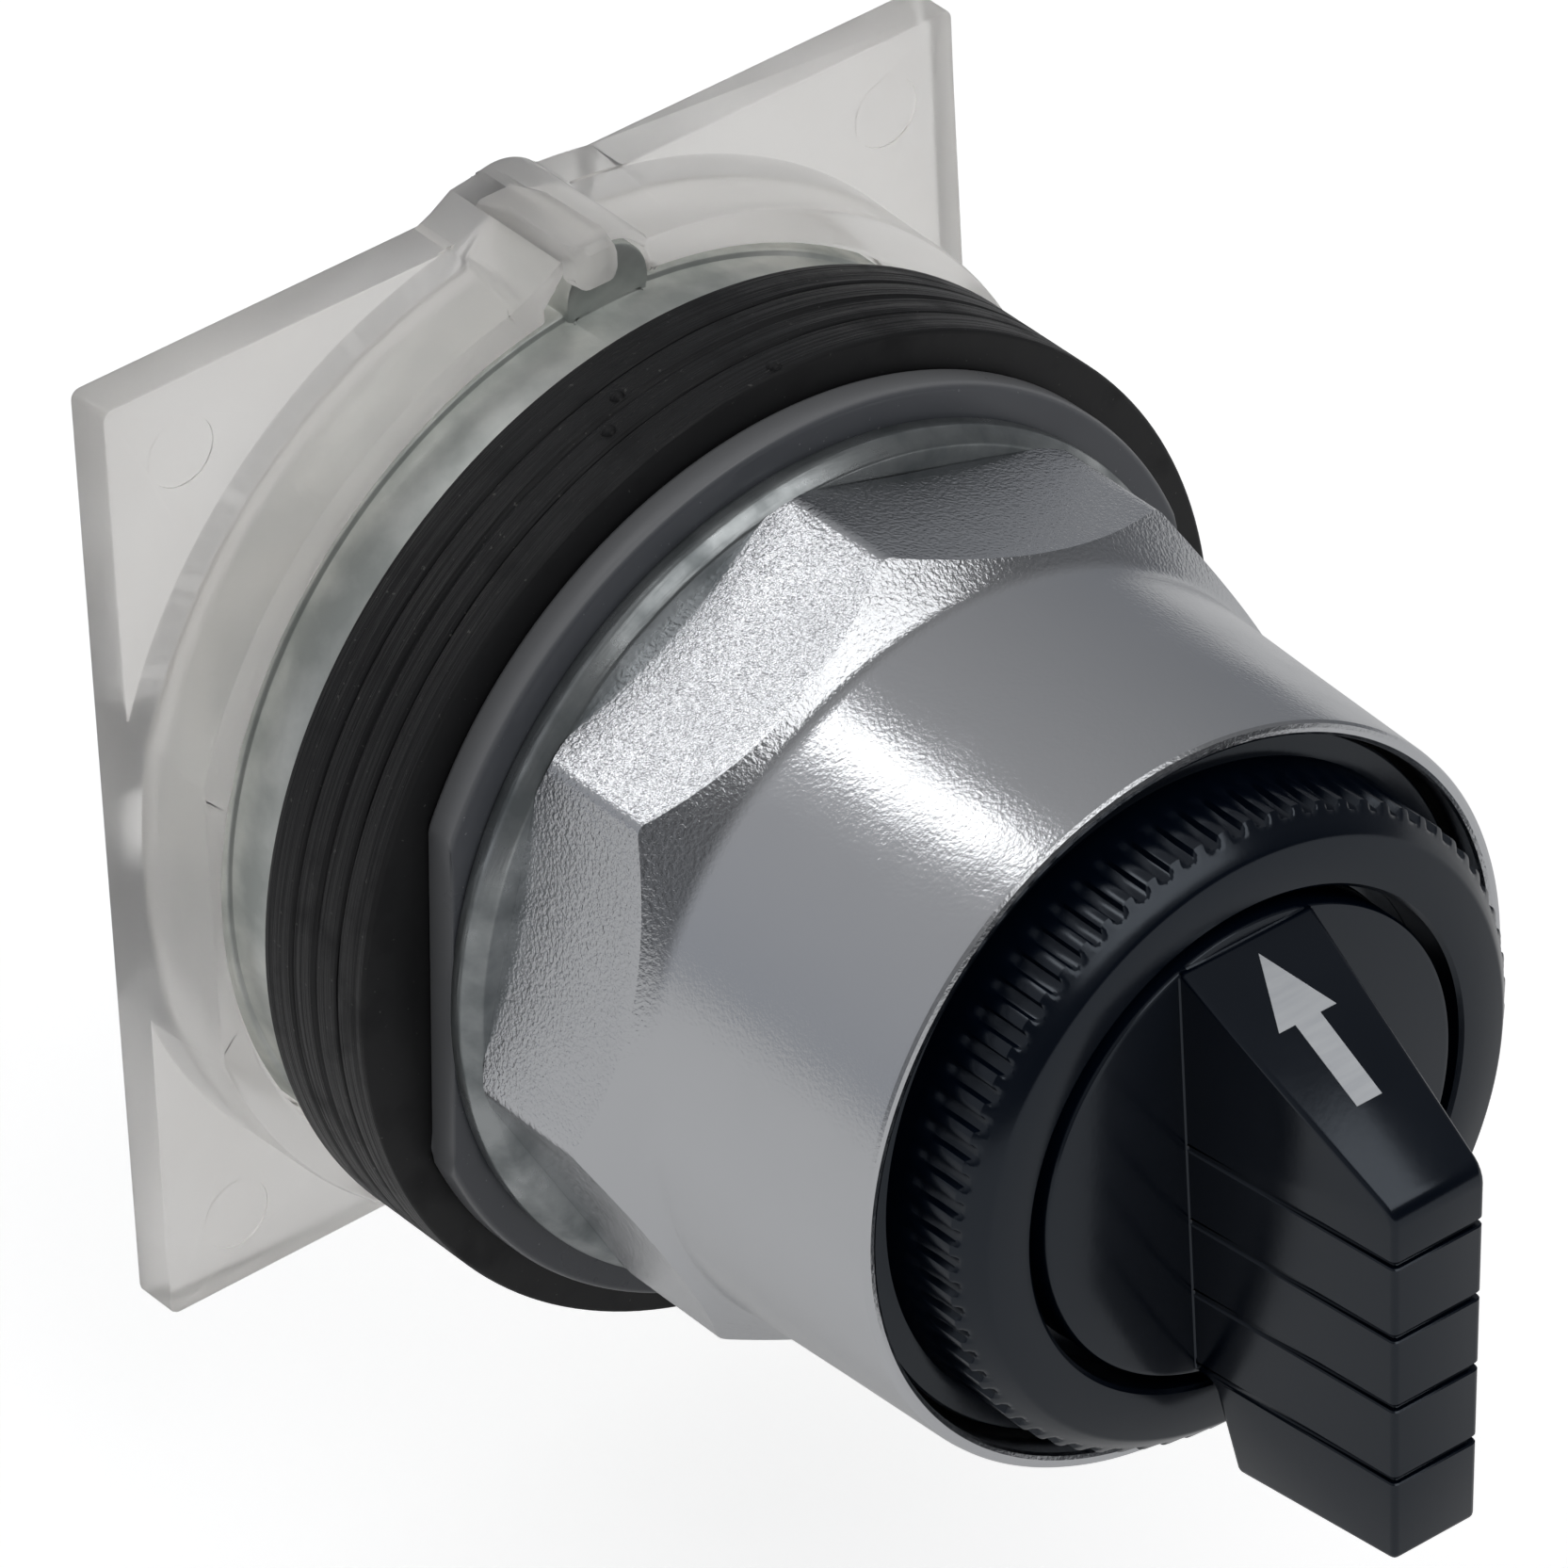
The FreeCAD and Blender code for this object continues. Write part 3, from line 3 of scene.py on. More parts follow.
import bpy
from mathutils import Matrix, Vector


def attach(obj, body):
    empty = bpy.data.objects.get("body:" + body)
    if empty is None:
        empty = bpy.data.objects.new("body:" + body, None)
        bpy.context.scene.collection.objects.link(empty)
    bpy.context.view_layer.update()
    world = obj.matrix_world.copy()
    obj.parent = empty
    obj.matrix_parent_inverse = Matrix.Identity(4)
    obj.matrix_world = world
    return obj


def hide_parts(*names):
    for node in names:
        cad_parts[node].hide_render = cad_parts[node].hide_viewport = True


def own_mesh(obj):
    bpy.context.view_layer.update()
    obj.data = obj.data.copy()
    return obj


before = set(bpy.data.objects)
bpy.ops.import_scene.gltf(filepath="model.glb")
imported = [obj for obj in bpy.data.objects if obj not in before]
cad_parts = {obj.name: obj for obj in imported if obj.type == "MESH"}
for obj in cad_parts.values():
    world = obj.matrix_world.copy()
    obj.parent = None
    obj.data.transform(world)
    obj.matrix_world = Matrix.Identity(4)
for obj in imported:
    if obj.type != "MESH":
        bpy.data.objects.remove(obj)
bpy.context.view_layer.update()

# View and light
# The switch is seen from its front left and from above, through a long lens.
# A soft box behind it and one in front light it in a pale room, and the floor
# stays white to the eye.
bpy.ops.object.select_all(action="DESELECT")
bpy.ops.object.camera_add(
    location=(-0.304095, -0.393850, 0.360749),
    rotation=(math.radians(54.2645), math.radians(2.1040), math.radians(-39.2065)),
)
camera = bpy.context.object
camera.name = "camera"
camera.data.lens = 352.267
camera.data.sensor_width = 36
camera.data.shift_x = -0.008036
camera.data.shift_y = -0.012766
camera.data.clip_start = 0.01
camera.data.clip_end = 20
bpy.context.scene.camera = camera
bpy.context.scene.view_settings.view_transform = "Standard"
FLOOR_Z = -0.034
WHITE = (1, 1, 1, 1)


def soft_box(name, place, aim, width, height, power):
    """A rectangular lamp that points from its place to the aim."""
    bpy.ops.object.light_add(type="AREA", location=place)
    lamp = bpy.context.object
    lamp.name = name
    lamp.data.shape = "RECTANGLE"
    lamp.data.size = width
    lamp.data.size_y = height
    lamp.data.energy = power
    lamp.rotation_euler = (Vector(aim) - Vector(place)).to_track_quat("-Z", "Y").to_euler()


def spread(nodes, links, value, start, end, low=0, high=1):
    """A value between start and end, spread out between low and high."""
    node = nodes.new("ShaderNodeMapRange")
    for name, number in (("From Min", start), ("From Max", end), ("To Min", low), ("To Max", high)):
        node.inputs[name].default_value = number
    links.new(value, node.inputs["Value"])
    return node.outputs["Result"]


def maths(nodes, links, operation, first, second):
    """Two values joined by an operation. The second may be a plain number."""
    node = nodes.new("ShaderNodeMath")
    node.operation = operation
    links.new(first, node.inputs[0])
    if isinstance(second, float):
        node.inputs[1].default_value = second
    else:
        links.new(second, node.inputs[1])
    return node.outputs[0]


soft_box("key_box", place=(-0.20, 0.57, 0.65), aim=(0, 0, 0), width=0.14, height=0.42, power=0.50)
soft_box("front_box", place=(0.08, -0.60, 0.85), aim=(0, -0.01, 0), width=0.95, height=0.6, power=2.9)

world = bpy.data.worlds.new("studio")
bpy.context.scene.world = world
world.use_nodes = True
nodes, links = world.node_tree.nodes, world.node_tree.links
room = nodes["Background"]
direction = nodes.new("ShaderNodeTexCoord")
parts = nodes.new("ShaderNodeSeparateXYZ")
links.new(direction.outputs["Generated"], parts.inputs[0])
sky = nodes.new("ShaderNodeValToRGB")
sky.color_ramp.elements[0].position = 0.45
sky.color_ramp.elements[0].color = (0.29, 0.303, 0.328, 1)
sky.color_ramp.elements[1].position = 1.0
sky.color_ramp.elements[1].color = (0.42, 0.42, 0.425, 1)
links.new(spread(nodes, links, parts.outputs["Z"], -1, 1), sky.inputs["Fac"])
links.new(sky.outputs["Color"], room.inputs["Color"])
aside = spread(nodes, links, parts.outputs["X"], -1, 1, 1.15, 0.65)
ahead = spread(nodes, links, parts.outputs["Y"], -0.8, 0.5, 0.2, 1.05)
links.new(maths(nodes, links, "MULTIPLY", aside, ahead), room.inputs["Strength"])
white = nodes.new("ShaderNodeBackground")
white.inputs["Color"].default_value = WHITE
white.inputs["Strength"].default_value = 1.0
eye = nodes.new("ShaderNodeLightPath").outputs
seen = maths(nodes, links, "MAXIMUM", eye["Is Camera Ray"], eye["Is Transmission Ray"])
choose = nodes.new("ShaderNodeMixShader")
links.new(seen, choose.inputs["Fac"])
links.new(room.outputs[0], choose.inputs[1])
links.new(white.outputs[0], choose.inputs[2])
links.new(choose.outputs[0], nodes["World Output"].inputs["Surface"])

bpy.ops.mesh.primitive_plane_add(size=6, location=(0, 0, FLOOR_Z))
floor = bpy.context.object
floor.name = "floor"
paper = bpy.data.materials.new("white_paper")
paper.use_nodes = True
nodes, links = paper.node_tree.nodes, paper.node_tree.links
nodes.remove(nodes["Principled BSDF"])
dull = nodes.new("ShaderNodeBsdfDiffuse")
dull.inputs["Color"].default_value = (0.55, 0.55, 0.55, 1)
glow = nodes.new("ShaderNodeEmission")
glow.inputs["Color"].default_value = WHITE
lit = nodes.new("ShaderNodeAddShader")
clear = nodes.new("ShaderNodeBsdfTransparent")
below = nodes.new("ShaderNodeNewGeometry")
sides = nodes.new("ShaderNodeMixShader")
eye = nodes.new("ShaderNodeLightPath").outputs
seen = maths(nodes, links, "MAXIMUM", eye["Is Camera Ray"], eye["Is Transmission Ray"])
seen = maths(nodes, links, "MULTIPLY", seen, 0.8)
mirrored = maths(nodes, links, "MULTIPLY", eye["Is Glossy Ray"], 0.3)
links.new(maths(nodes, links, "MAXIMUM", seen, mirrored), glow.inputs["Strength"])
links.new(dull.outputs[0], lit.inputs[0])
links.new(glow.outputs[0], lit.inputs[1])
links.new(below.outputs["Backfacing"], sides.inputs["Fac"])
links.new(lit.outputs[0], sides.inputs[1])
links.new(clear.outputs[0], sides.inputs[2])
links.new(sides.outputs[0], nodes["Material Output"].inputs["Surface"])
floor.data.materials.append(paper)

# Clear backing plate
# A square plate with a round collar that hugs the casting's flange, molded in
# one from translucent plastic. A snap finger reaches over the flange at the top.
MM = 0.001
PLATE_REAR, PLATE_FRONT, COLLAR_FRONT = 17.3, 15.1, 10.15
PLATE_HALF_WIDTH, PLATE_HALF_HEIGHT = 21.6, 22.35
COLLAR_R, COLLAR_BORE_R, OPENING_R = 22.8, 20.98, 11.9
FINGER_TOP = 24.2
SCREW_R = 16.9
EJECTOR_X, EJECTOR_Z = 18, 18.9
BOSS = (-0.3, 0, 21.0)


def pick(piece):
    """Selects the piece alone and makes it the active object."""
    bpy.ops.object.select_all(action="DESELECT")
    bpy.context.view_layer.objects.active = piece
    piece.select_set(True)


def unpick_mesh(piece, kind):
    """Leaves nothing of its mesh selected, and selects by this kind from now on."""
    pick(piece)
    bpy.ops.object.mode_set(mode="EDIT")
    bpy.ops.mesh.select_mode(type=kind)
    bpy.ops.mesh.select_all(action="DESELECT")
    bpy.ops.object.mode_set(mode="OBJECT")


def begin(name):
    """A single vertex at the origin, in edit mode, in a new object."""
    bpy.ops.object.select_all(action="DESELECT")
    bpy.ops.mesh.primitive_plane_add(size=MM, location=(0, 0, 0))
    piece = bpy.context.object
    piece.name = name
    piece.data.name = name
    bpy.ops.object.mode_set(mode="EDIT")
    bpy.ops.mesh.select_mode(type="VERT")
    bpy.ops.mesh.select_all(action="SELECT")
    bpy.ops.mesh.merge(type="CENTER")
    return piece


def draw(points):
    """Extrudes the vertex from point to point and back to the first, in mm."""
    here = Vector(points[0])
    bpy.ops.transform.translate(value=here * MM)
    for point in list(points[1:]) + [points[0]]:
        bpy.ops.mesh.extrude_region_move(TRANSFORM_OT_translate={"value": (Vector(point) - here) * MM})
        here = Vector(point)
    bpy.ops.mesh.select_all(action="SELECT")
    bpy.ops.mesh.remove_doubles(threshold=MM * 0.002)


def finish_edit():
    """Joins doubled points, turns the faces outward and leaves edit mode."""
    bpy.ops.mesh.select_all(action="SELECT")
    bpy.ops.mesh.remove_doubles(threshold=MM * 0.001)
    bpy.ops.mesh.normals_make_consistent(inside=False)
    bpy.ops.object.mode_set(mode="OBJECT")


def turned(name, profile, steps=192, centre=(0, 0, 0)):
    """A profile of (radius, station) in mm, spun round an axis along Y."""
    piece = begin(name)
    draw([(centre[0] + r, y, centre[2]) for r, y in profile])
    bpy.ops.mesh.spin(steps=steps, angle=math.tau, center=[c * MM for c in centre], axis=(0, 1, 0))
    finish_edit()
    return piece


def slab(name, outline, start, end, along="Y"):
    """A flat outline in mm, drawn across the axis and extruded along it."""
    piece = begin(name)
    if along == "Y":
        draw([(a, start, b) for a, b in outline])
        way = (0, (end - start) * MM, 0)
    elif along == "X":
        draw([(start, a, b) for a, b in outline])
        way = ((end - start) * MM, 0, 0)
    else:
        draw([(a, b, start) for a, b in outline])
        way = (0, 0, (end - start) * MM)
    bpy.ops.mesh.edge_face_add()
    bpy.ops.mesh.extrude_region_move(TRANSFORM_OT_translate={"value": way})
    finish_edit()
    return piece


def apply(piece, kind, **settings):
    """Adds a modifier with these settings and applies it."""
    pick(piece)
    bpy.ops.object.modifier_add(type=kind)
    mod = piece.modifiers[-1]
    for key, value in settings.items():
        setattr(mod, key, value)
    bpy.ops.object.modifier_apply(modifier=mod.name)


def cut(piece, tool, operation="DIFFERENCE"):
    """Cuts the tool out of the piece, or joins it, and clears the tool away."""
    apply(piece, "BOOLEAN", operation=operation, object=tool, solver="EXACT")
    bpy.data.objects.remove(tool)


def soften(piece, width, segments=2, angle=32):
    """Rounds the sharp edges by a width in mm and shades the piece smooth."""
    apply(piece, "BEVEL", width=width * MM, segments=segments, limit_method="ANGLE",
          angle_limit=math.radians(angle), use_clamp_overlap=False, miter_outer="MITER_ARC")
    smooth(piece)


def smooth(piece, angle=38):
    """Shades the piece smooth, but for edges sharper than the angle."""
    pick(piece)
    bpy.ops.object.shade_smooth_by_angle(angle=math.radians(angle))


def trim(piece, place, normal):
    """Cuts the piece along a plane, removes what is outside it and caps it."""
    pick(piece)
    bpy.ops.object.mode_set(mode="EDIT")
    bpy.ops.mesh.select_all(action="SELECT")
    bpy.ops.mesh.bisect(
        plane_co=[p * MM for p in place], plane_no=normal, use_fill=True, clear_outer=True)
    bpy.ops.object.mode_set(mode="OBJECT")


def bevel_edges(piece, width, segments, test):
    """Rounds the edges that the test picks by their two ends, in mm."""
    unpick_mesh(piece, "EDGE")
    for edge in piece.data.edges:
        edge.select = test(*(piece.data.vertices[i].co / MM for i in edge.vertices))
    bpy.ops.object.mode_set(mode="EDIT")
    bpy.ops.mesh.bevel(offset=width * MM, segments=segments, affect="EDGES")
    bpy.ops.mesh.select_all(action="DESELECT")
    bpy.ops.object.mode_set(mode="OBJECT")


def press(piece, axis, level):
    """Moves the tips that stand out past a level in mm back onto it."""
    unpick_mesh(piece, "VERT")
    for vertex in piece.data.vertices:
        vertex.select = abs(vertex.co[axis]) > abs(level) * MM and vertex.co[axis] * level > 0
    bpy.ops.object.mode_set(mode="EDIT")
    scale, centre = [1, 1, 1], [0, 0, 0]
    scale[axis], centre[axis] = 0, level * MM
    bpy.ops.transform.resize(value=scale, center_override=centre)
    bpy.ops.object.mode_set(mode="OBJECT")


plate = turned("clear_plate", [
    (COLLAR_R, 17.18), (22.68, PLATE_REAR), (OPENING_R, PLATE_REAR), (OPENING_R, PLATE_FRONT),
    (21.0, PLATE_FRONT), (21.02, 10.3), (21.14, COLLAR_FRONT), (22.38, COLLAR_FRONT), (22.54, 10.24),
    (22.64, 10.45), (22.76, PLATE_FRONT), (COLLAR_R, PLATE_FRONT),
], steps=224)
cut(plate, slab("slab_tool", [
    (-23, -PLATE_HALF_HEIGHT), (23, -PLATE_HALF_HEIGHT), (23, PLATE_HALF_HEIGHT), (-23, PLATE_HALF_HEIGHT),
], PLATE_REAR, PLATE_FRONT), "UNION")
cut(plate, turned("opening_tool", [(0, 18), (OPENING_R, 18), (OPENING_R, 14.5), (0, 14.5)], steps=128))
cut(plate, turned("boss_tool", [
    (0, PLATE_REAR), (2.65, PLATE_REAR), (2.65, 10.4), (2.57, 10.23), (2.4, COLLAR_FRONT),
    (0, COLLAR_FRONT),
], steps=72, centre=BOSS), "UNION")
cut(plate, slab("flank_tool", [
    (-5.2, 20.9), (-5.2, 21.95), (-3.6, 22.65), (-2.55, 23.3), (-1.0, 23.5), (-1.0, 20.9),
], PLATE_REAR, 10.18), "UNION")
cut(plate, turned("flange_tool", [
    (0, PLATE_FRONT), (COLLAR_BORE_R, PLATE_FRONT), (COLLAR_BORE_R, 9), (0, 9),
], steps=224))
cut(plate, turned("lug_tool", [
    (0, PLATE_FRONT), (2.2, PLATE_FRONT), (2.2, 9), (0, 9),
], steps=56, centre=BOSS))
cut(plate, slab("gap_tool", [
    (-3.45, 20.4), (-3.45, 21.45), (-2.0, 23.1), (-1.6, 22.6), (-1.8, 20.4),
], PLATE_FRONT, 9))
for x in (1, -1):
    cut(plate, slab("side_tool", [
        (PLATE_HALF_WIDTH * x, -24), (25 * x, -24), (25 * x, 24), (PLATE_HALF_WIDTH * x, 24),
    ], 18, 8))
# The plate's four corners
bevel_edges(plate, 0.45, 4, lambda a, b: min(abs(a.x), abs(b.x)) > PLATE_HALF_WIDTH - 0.01
            and min(abs(a.z), abs(b.z)) > PLATE_HALF_HEIGHT - 0.01)
# Plain holes for the contact blocks' screws, sunk ones for the plate's own
for x in (SCREW_R, -SCREW_R):
    cut(plate, turned("clearance_tool", [
        (0, 18), (1.9, 18), (1.9, 14.8), (0, 14.8),
    ], steps=40, centre=(x, 0, 0)))
for z in (SCREW_R, -SCREW_R):
    cut(plate, turned("sunk_tool", [
        (0, 17.6), (2.95, 17.6), (2.95, PLATE_REAR), (1.7, 15.95), (1.7, 14.8), (0, 14.8),
    ], steps=40, centre=(0, 0, z)))
soften(plate, 0.12, segments=2, angle=50)
finger = slab("finger_tool", [
    (15.6, 23.3), (15.6, 23.55), (13.5, FINGER_TOP), (9.3, FINGER_TOP), (8.95, 24.0), (8.75, 23.6),
    (8.75, 22.9), (8.9, 22.45), (9.2, 22.2), (9.6, 22.25), (10.1, 22.6), (10.1, 23.3),
], -2.5, -0.5, along="X")
# Round the finger's tip, then along its back
bevel_edges(finger, 0.6, 5, lambda a, b: max(a.y, b.y) < 9.95 and abs(a.x - b.x) < 0.01)
bevel_edges(finger, 0.25, 3, lambda a, b: abs(a.x - b.x) < 0.01 and min(a.z, b.z) > 23.5
            and abs(a.y - b.y) > 1.5)
cut(plate, finger, "UNION")
press(plate, 1, PLATE_REAR)
press(plate, 2, -COLLAR_R)
for x in (-EJECTOR_X, EJECTOR_X):
    for z in (-EJECTOR_Z, EJECTOR_Z):
        cut(plate, turned("ejector_tool", [
            (0, 14.6), (1.6, 14.6), (1.6, 15.18), (0, 15.18),
        ], steps=40, centre=(x, 0, z)))
smooth(plate, 30)


def finish_of(name, colour, roughness):
    """A material with its Principled shader and its Object coordinates."""
    material = bpy.data.materials.new(name)
    material.use_nodes = True
    nodes, links = material.node_tree.nodes, material.node_tree.links
    shader = nodes["Principled BSDF"]
    shader.inputs["Base Color"].default_value = (*colour, 1)
    shader.inputs["Roughness"].default_value = roughness
    place = nodes.new("ShaderNodeTexCoord")
    return material, nodes, links, shader, place.outputs["Object"]


def grain_group():
    """Fine noise with a height for bump and a value for colour and gloss."""
    group = bpy.data.node_groups.new("fine_grain", "ShaderNodeTree")
    group.interface.new_socket(name="Vector", in_out="INPUT", socket_type="NodeSocketVector")
    for name, value in (("Scale", 1000.0), ("Detail", 4.0), ("Low", 0.35), ("High", 0.65)):
        socket = group.interface.new_socket(name=name, in_out="INPUT", socket_type="NodeSocketFloat")
        socket.default_value = value
    for name in ("Height", "Mask"):
        group.interface.new_socket(name=name, in_out="OUTPUT", socket_type="NodeSocketFloat")
    into, out = group.nodes.new("NodeGroupInput"), group.nodes.new("NodeGroupOutput")
    noise = group.nodes.new("ShaderNodeTexNoise")
    mask = group.nodes.new("ShaderNodeMapRange")
    group.links.new(into.outputs["Vector"], noise.inputs["Vector"])
    group.links.new(into.outputs["Scale"], noise.inputs["Scale"])
    group.links.new(into.outputs["Detail"], noise.inputs["Detail"])
    group.links.new(noise.outputs["Fac"], mask.inputs["Value"])
    group.links.new(into.outputs["Low"], mask.inputs["From Min"])
    group.links.new(into.outputs["High"], mask.inputs["From Max"])
    group.links.new(noise.outputs["Fac"], out.inputs["Height"])
    group.links.new(mask.outputs["Result"], out.inputs["Mask"])
    return group


fine_grain = grain_group()


def grain(nodes, links, vector, scale, detail=4.0, low=0.35, high=0.65, stretch=None):
    """One fine_grain group in a material, with its values. A stretch draws it out."""
    if stretch is not None:
        mapping = nodes.new("ShaderNodeMapping")
        mapping.inputs["Scale"].default_value = stretch
        links.new(vector, mapping.inputs["Vector"])
        vector = mapping.outputs["Vector"]
    node = nodes.new("ShaderNodeGroup")
    node.node_tree = fine_grain
    node.inputs["Scale"].default_value = scale
    node.inputs["Detail"].default_value = detail
    node.inputs["Low"].default_value = low
    node.inputs["High"].default_value = high
    links.new(vector, node.inputs["Vector"])
    return node


def bump(nodes, links, shader, height, strength, distance, under=None):
    """Turns a height into relief, by a distance in mm, on top of another relief."""
    node = nodes.new("ShaderNodeBump")
    node.inputs["Strength"].default_value = strength
    node.inputs["Distance"].default_value = distance * MM
    links.new(height, node.inputs["Height"])
    if under is not None:
        links.new(under, node.inputs["Normal"])
    links.new(node.outputs["Normal"], shader.inputs["Normal"])
    return node.outputs["Normal"]


def shade(nodes, links, mask, dark, light, socket):
    """Mixes two colours, or two values, by a mask into a socket."""
    node = nodes.new("ShaderNodeMix")
    kind = "VALUE"
    if isinstance(dark, tuple):
        node.data_type = kind = "RGBA"
        dark, light = (*dark, 1), (*light, 1)
    for mixed in node.inputs:
        if mixed.type == kind and mixed.name in ("A", "B"):
            mixed.default_value = dark if mixed.name == "A" else light
    links.new(mask, node.inputs["Factor"])
    links.new([out for out in node.outputs if out.type == kind][0], socket)


def paint(piece, material):
    """Gives the piece this material alone."""
    piece.data.materials.clear()
    piece.data.materials.append(material)


clear_plastic, nodes, links, shader, place = finish_of("clear_plastic", (0.93, 0.92, 0.91), 0.30)
shader.inputs["IOR"].default_value = 1.22
shader.inputs["Transmission Weight"].default_value = 0.64
flow = grain(nodes, links, place, 140, detail=3)
shade(nodes, links, flow.outputs["Mask"], 0.28, 0.40, shader.inputs["Roughness"])
shade(nodes, links, flow.outputs["Mask"], (0.92, 0.905, 0.885), (0.95, 0.94, 0.925),
      shader.inputs["Base Color"])
bump(nodes, links, shader, flow.outputs["Height"], 0.15, 0.05)
paint(plate, clear_plastic)
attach(plate, "base")
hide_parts("backing_plate")

# Body casting
# Die-cast zinc with a dull gray-green finish: a flange with a lug at the top,
# and a barrel that goes through the panel. It is bored for the cam and the knob.
FLANGE_R, FLANGE_FRONT = 20.65, 6.45
BARREL_R, NECK_R = 14.95, 12.5
HOLE_END = 16
casting = turned("zinc_body", [
    (13.0, PLATE_FRONT), (20.35, PLATE_FRONT), (FLANGE_R, 14.8), (FLANGE_R, 10.6), (20.5, 10.45),
    (20.35, 10.45), (20.35, 6.75), (20.05, FLANGE_FRONT), (BARREL_R, FLANGE_FRONT), (BARREL_R, -13.9),
    (14.65, -14.2), (NECK_R, -14.2), (NECK_R, -21.7), (12.2, -22.0), (8.05, -22.0), (8.05, -16.0),
    (4.05, -16.0), (4.05, -10.0), (12.0, -10.0), (12.0, 13.5), (13.0, 13.5),
])
cut(casting, turned("lug_tool", [
    (0, PLATE_FRONT), (2.05, PLATE_FRONT), (2.05, COLLAR_FRONT), (0, COLLAR_FRONT),
], steps=48, centre=BOSS), "UNION")
cut(casting, slab("keyway_tool", [
    (-2.5, 13.95), (2.5, 13.95), (2.5, 16), (-2.5, 16),
], FLANGE_FRONT, -15.5))
for x in (SCREW_R, -SCREW_R):
    cut(casting, turned("contact_tool", [
        (0, HOLE_END), (1.45, HOLE_END), (1.45, 9), (0, 8.4),
    ], steps=32, centre=(x, 0, 0)))
    cut(casting, turned("screw_tool", [
        (0, HOLE_END), (1.5, HOLE_END), (1.5, 9.1), (0, 8.5),
    ], steps=32, centre=(0, 0, x)))
soften(casting, 0.12)
zinc, nodes, links, shader, place = finish_of("zinc_casting", (0.42, 0.44, 0.42), 0.42)
shader.inputs["Metallic"].default_value = 0.8
cloud = grain(nodes, links, place, 260, detail=6)
pits = grain(nodes, links, place, 1500, detail=3, low=0.62, high=0.72)
shade(nodes, links, cloud.outputs["Mask"], (0.51, 0.54, 0.52), (0.79, 0.805, 0.775),
      shader.inputs["Base Color"])
shade(nodes, links, cloud.outputs["Mask"], 0.52, 0.36, shader.inputs["Roughness"])
skin = bump(nodes, links, shader, cloud.outputs["Height"], 0.35, 0.12)
bump(nodes, links, shader, pits.outputs["Height"], 0.35, 0.05, under=skin)
paint(casting, zinc)
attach(casting, "base")
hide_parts("body_casting")

# Gaskets
# Three molded rubber rings seal the panel from behind. Their rims are rounded,
# a parting line runs round the middle one, and small vent pips stand out.
GASKET_R, RIM_ROUNDING, FACE_WIDTH = 21.9, 0.22, 2.2
BORE_R = 15.1
BEAD = ((-0.22, 0), (-0.1, -0.1), (0, -0.16), (0.1, -0.1), (0.22, 0))
GASKETS = (
    ("rubber_rear", "gasket_rear", 4.60, 6.45, None, ()),
    ("rubber_middle", "gasket_middle", 1.75, 4.60, 3.175, ((103.2, 3.7), (107.0, 2.5))),
    ("rubber_front", "gasket_front", 0.0, 1.75, None, ((89.0, 0.5),)),
)
PIP_R, PIP_AT = 0.34, 21.78


def rounded_rim(front, rear, line):
    """The profile of a ring whose rim has two round corners and may have a line."""
    outer, radius = GASKET_R, RIM_ROUNDING
    inner = outer - radius - FACE_WIDTH
    arc = [(math.sin(math.radians(a)), math.cos(math.radians(a))) for a in range(0, 91, 15)]
    points = [(BORE_R, front), (inner, front)]
    points += [(outer - radius + radius * s, front + radius - radius * c) for s, c in arc]
    if line is not None:
        points += [(outer + rise, line + step) for step, rise in BEAD]
    points += [(outer - radius + radius * c, rear - radius + radius * s) for s, c in arc]
    return points + [(inner, rear), (BORE_R, rear)]


rubber, nodes, links, shader, place = finish_of("rubber", (0.010, 0.010, 0.011), 0.55)
shader.inputs["Specular IOR Level"].default_value = 0.35
lines = grain(nodes, links, place, 1.0, detail=8, low=0.4, high=0.6, stretch=(50, 3000, 50))
scuffs = grain(nodes, links, place, 420, detail=5, low=0.52, high=0.72)
dust = grain(nodes, links, place, 3600, detail=2, low=0.70, high=0.76)
shade(nodes, links, scuffs.outputs["Mask"], 0.48, 0.66, shader.inputs["Roughness"])
shade(nodes, links, dust.outputs["Mask"], (0.010, 0.010, 0.011), (0.09, 0.09, 0.085),
      shader.inputs["Base Color"])
skin = bump(nodes, links, shader, lines.outputs["Height"], 0.9, 0.30)
bump(nodes, links, shader, scuffs.outputs["Height"], 0.25, 0.05, under=skin)
for name, node, front, rear, line, pips in GASKETS:
    ring = turned(name, rounded_rim(front, rear, line))
    for angle, station in pips:
        across, up = math.cos(math.radians(angle)), math.sin(math.radians(angle))
        bpy.ops.object.select_all(action="DESELECT")
        bpy.ops.mesh.primitive_ico_sphere_add(
            subdivisions=3, radius=PIP_R * MM,
            location=(PIP_AT * MM * across, station * MM, PIP_AT * MM * up))
        pip = bpy.context.object
        pip.name = "pip_tool"
        bpy.ops.object.transform_apply(location=True)
        cut(ring, pip, "UNION")
    smooth(ring)
    paint(ring, rubber)
    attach(ring, "base")
    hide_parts(node)

# Gray washer
# A molded gray washer with two flats, in front of the panel. A tongue on its
# inner edge rides in the barrel's keyway, so it can't turn.
TRIM_FRONT, TRIM_FLAT = -1.6, 18.6
washer = turned("gray_washer", [
    (BORE_R, 0), (20.1, 0), (20.28, -0.15), (20.28, -1.4), (20.08, TRIM_FRONT), (BORE_R, TRIM_FRONT),
])
turn = math.radians(2.9)
for side in (1, -1):
    across, up = side * math.cos(turn), -side * math.sin(turn)
    trim(washer, (TRIM_FLAT * across, 0, TRIM_FLAT * up), (across, 0, up))
cut(washer, slab("tongue_tool", [
    (-1.0, 14.1), (2.0, 14.1), (2.0, 15.9), (-1.0, 15.9),
], 0, TRIM_FRONT), "UNION")
soften(washer, 0.14)
